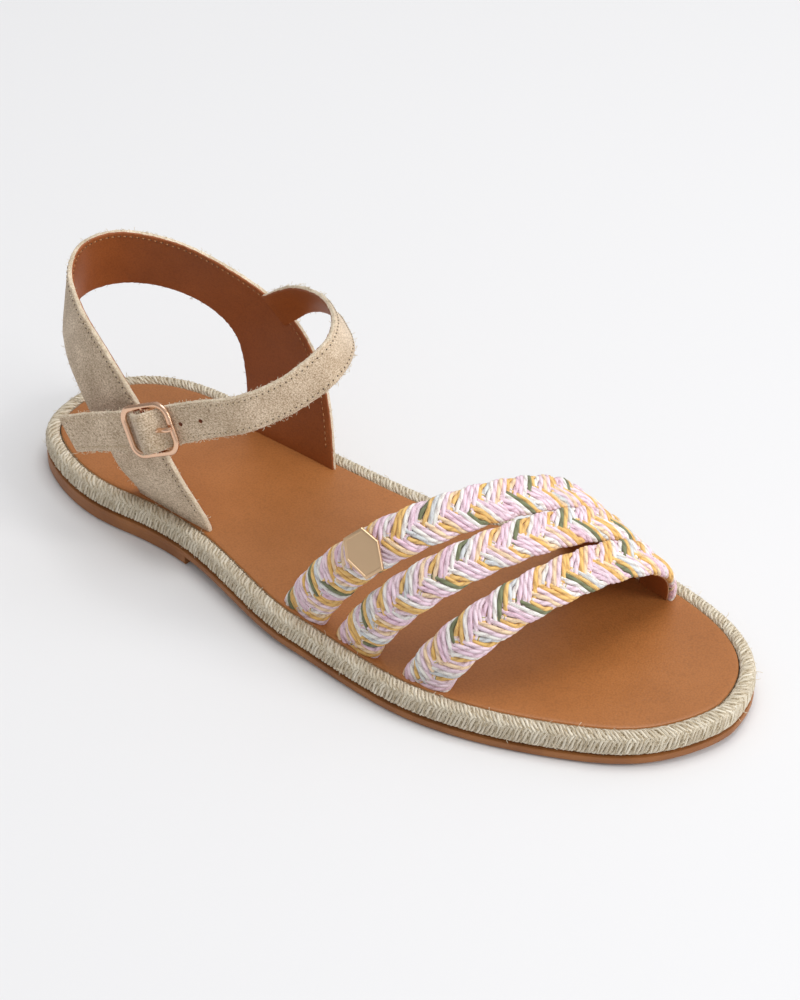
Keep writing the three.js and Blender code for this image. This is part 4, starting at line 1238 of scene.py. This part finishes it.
prong = wire("buckle_prong_wire", prong_path, PRONG / 2 * 1.1, PRONG / 2, False)
fasten(prong, "pale_brass", "buckle_prong")
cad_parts["buckle_tab"].data.materials.clear()
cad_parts["buckle_tab"].data.materials.append(SUEDE)

# %% Plate on the rear strap
PLATE_AT, PLATE_HALF, PLATE_THICKNESS = 0.178, 6.75, 0.9
CORNERS = np.array([(-0.55, 1), (0.55, 1), (0.95, 0.15), (0.5, -1), (-0.5, -1), (-0.95, 0.15)])


def plate():
    edges = VAMP["rear"]
    t, step = np.array([PLATE_AT]), 0.004
    centre = vamp_point(edges, t, 0)[0]
    tangent = unit(vamp_point(edges, t + step, 0) - vamp_point(edges, t - step, 0))[0]
    across = (vamp_point(edges, t, 1) - vamp_point(edges, t, -1))[0]
    across = unit(across - tangent * across.dot(tangent))
    normal = unit(np.cross(across, tangent))
    normal *= np.sign(normal.dot([0, centre[1] - TOE_SHIFT / 2, centre[2]]))
    base = centre + normal * (0.45 * STRAP_DEPTH + GAP)
    rings = [(1.0, 0.0), (1.0, 0.6), (0.975, 0.8), (0.93, 0.9), (0.86, 0.9), (0.84, 0.78), (0.5, 0.78)]
    points, faces = [], []
    for size, height in rings:
        for x, y in CORNERS * PLATE_HALF * size:
            points.append(base + tangent * x - across * y + normal * height * PLATE_THICKNESS / 0.9)
    for i in range(len(rings) - 1):
        for j in range(6):
            k = (j + 1) % 6
            faces.append((i * 6 + j, i * 6 + k, (i + 1) * 6 + k, (i + 1) * 6 + j))
    faces += [tuple(range(6)), tuple((len(rings) - 1) * 6 + j for j in range(6))]
    piece = solid("plain_plate", points, faces, [BRUSHED_GOLD])
    piece.data.set_sharp_from_angle(angle=math.radians(25))
    return piece


fasten(plate(), "pale_brass", "badge_plate")

# %% [markdown]
# ## Floor, light and camera
# The photograph is a catalogue picture: a white sweep, very soft light from above and a little
# more of it from the toe's side. A large lamp overhead and a bright sky give that, and a pale floor
# takes the soft contact shadow. The camera stands where the photograph's camera stood, worked
# out from the soles of the pair, and is turned and zoomed to frame the one shoe.

# %% Floor, light and camera
def pale_floor(tree):
    return node(tree, "ShaderNodeBsdfPrincipled", {"Base Color": linear("#E9E9EA"), "Roughness": 0.9,
                                                   "Specular IOR Level": 0.1})


bpy.ops.mesh.primitive_plane_add(size=8.0, location=(0, 0, -0.2 * MM))
floor = bpy.context.object
floor.name = "floor"
floor.data.materials.append(material("matt_white_sweep", pale_floor))
scene = bpy.context.scene
scene.world = bpy.data.worlds.new("soft_studio")
scene.world.use_nodes = True
sky = scene.world.node_tree
direction = node(sky, "ShaderNodeTexCoord").outputs["Object"]
facing = node(sky, "ShaderNodeVectorMath", {0: direction, 1: (0.66, 0.4, 0.64)},
              operation="DOT_PRODUCT").outputs["Value"]
glow = node(sky, "ShaderNodeMapRange", {"Value": facing, "From Min": -1.0, "From Max": 1.0,
                                        "To Min": 0.16, "To Max": 0.82}).outputs["Result"]
sky.links.new(glow, sky.nodes["Background"].inputs["Strength"])
sky.nodes["Background"].inputs["Color"].default_value = linear("#FCFCFD")
scene.view_settings.view_transform = "Standard"


def lamp(name, place, target, size, power):
    data = bpy.data.lights.new(name, "AREA")
    data.shape, data.size, data.energy = "DISK", size, power
    made = bpy.data.objects.new(name, data)
    made.location = place
    made.rotation_euler = (Vector(target) - Vector(place)).to_track_quat("-Z", "Y").to_euler()
    scene.collection.objects.link(made)


lamp("overhead", (0.1, 0.2, 1.5), (0.0, 0.0, 0.0), 0.9, 8.6)
lamp("toe_side", (1.3, 0.35, 0.75), (0.0, 0.0, 0.03), 0.6, 8.4)

camera_data = bpy.data.cameras.new("camera")
camera_data.lens = 99.0
camera_data.sensor_width = 36.0
camera = bpy.data.objects.new("camera", camera_data)
camera.location = Vector((np.array([516.86, -511.51, 540.84]) + HEEL) * MM)
aim = Vector((np.array([123.8, 13.5, 20.0]) + HEEL) * MM)
camera.rotation_euler = (aim - camera.location).to_track_quat("-Z", "Y").to_euler()
camera_data.clip_end = 50.0
scene.collection.objects.link(camera)
scene.camera = camera
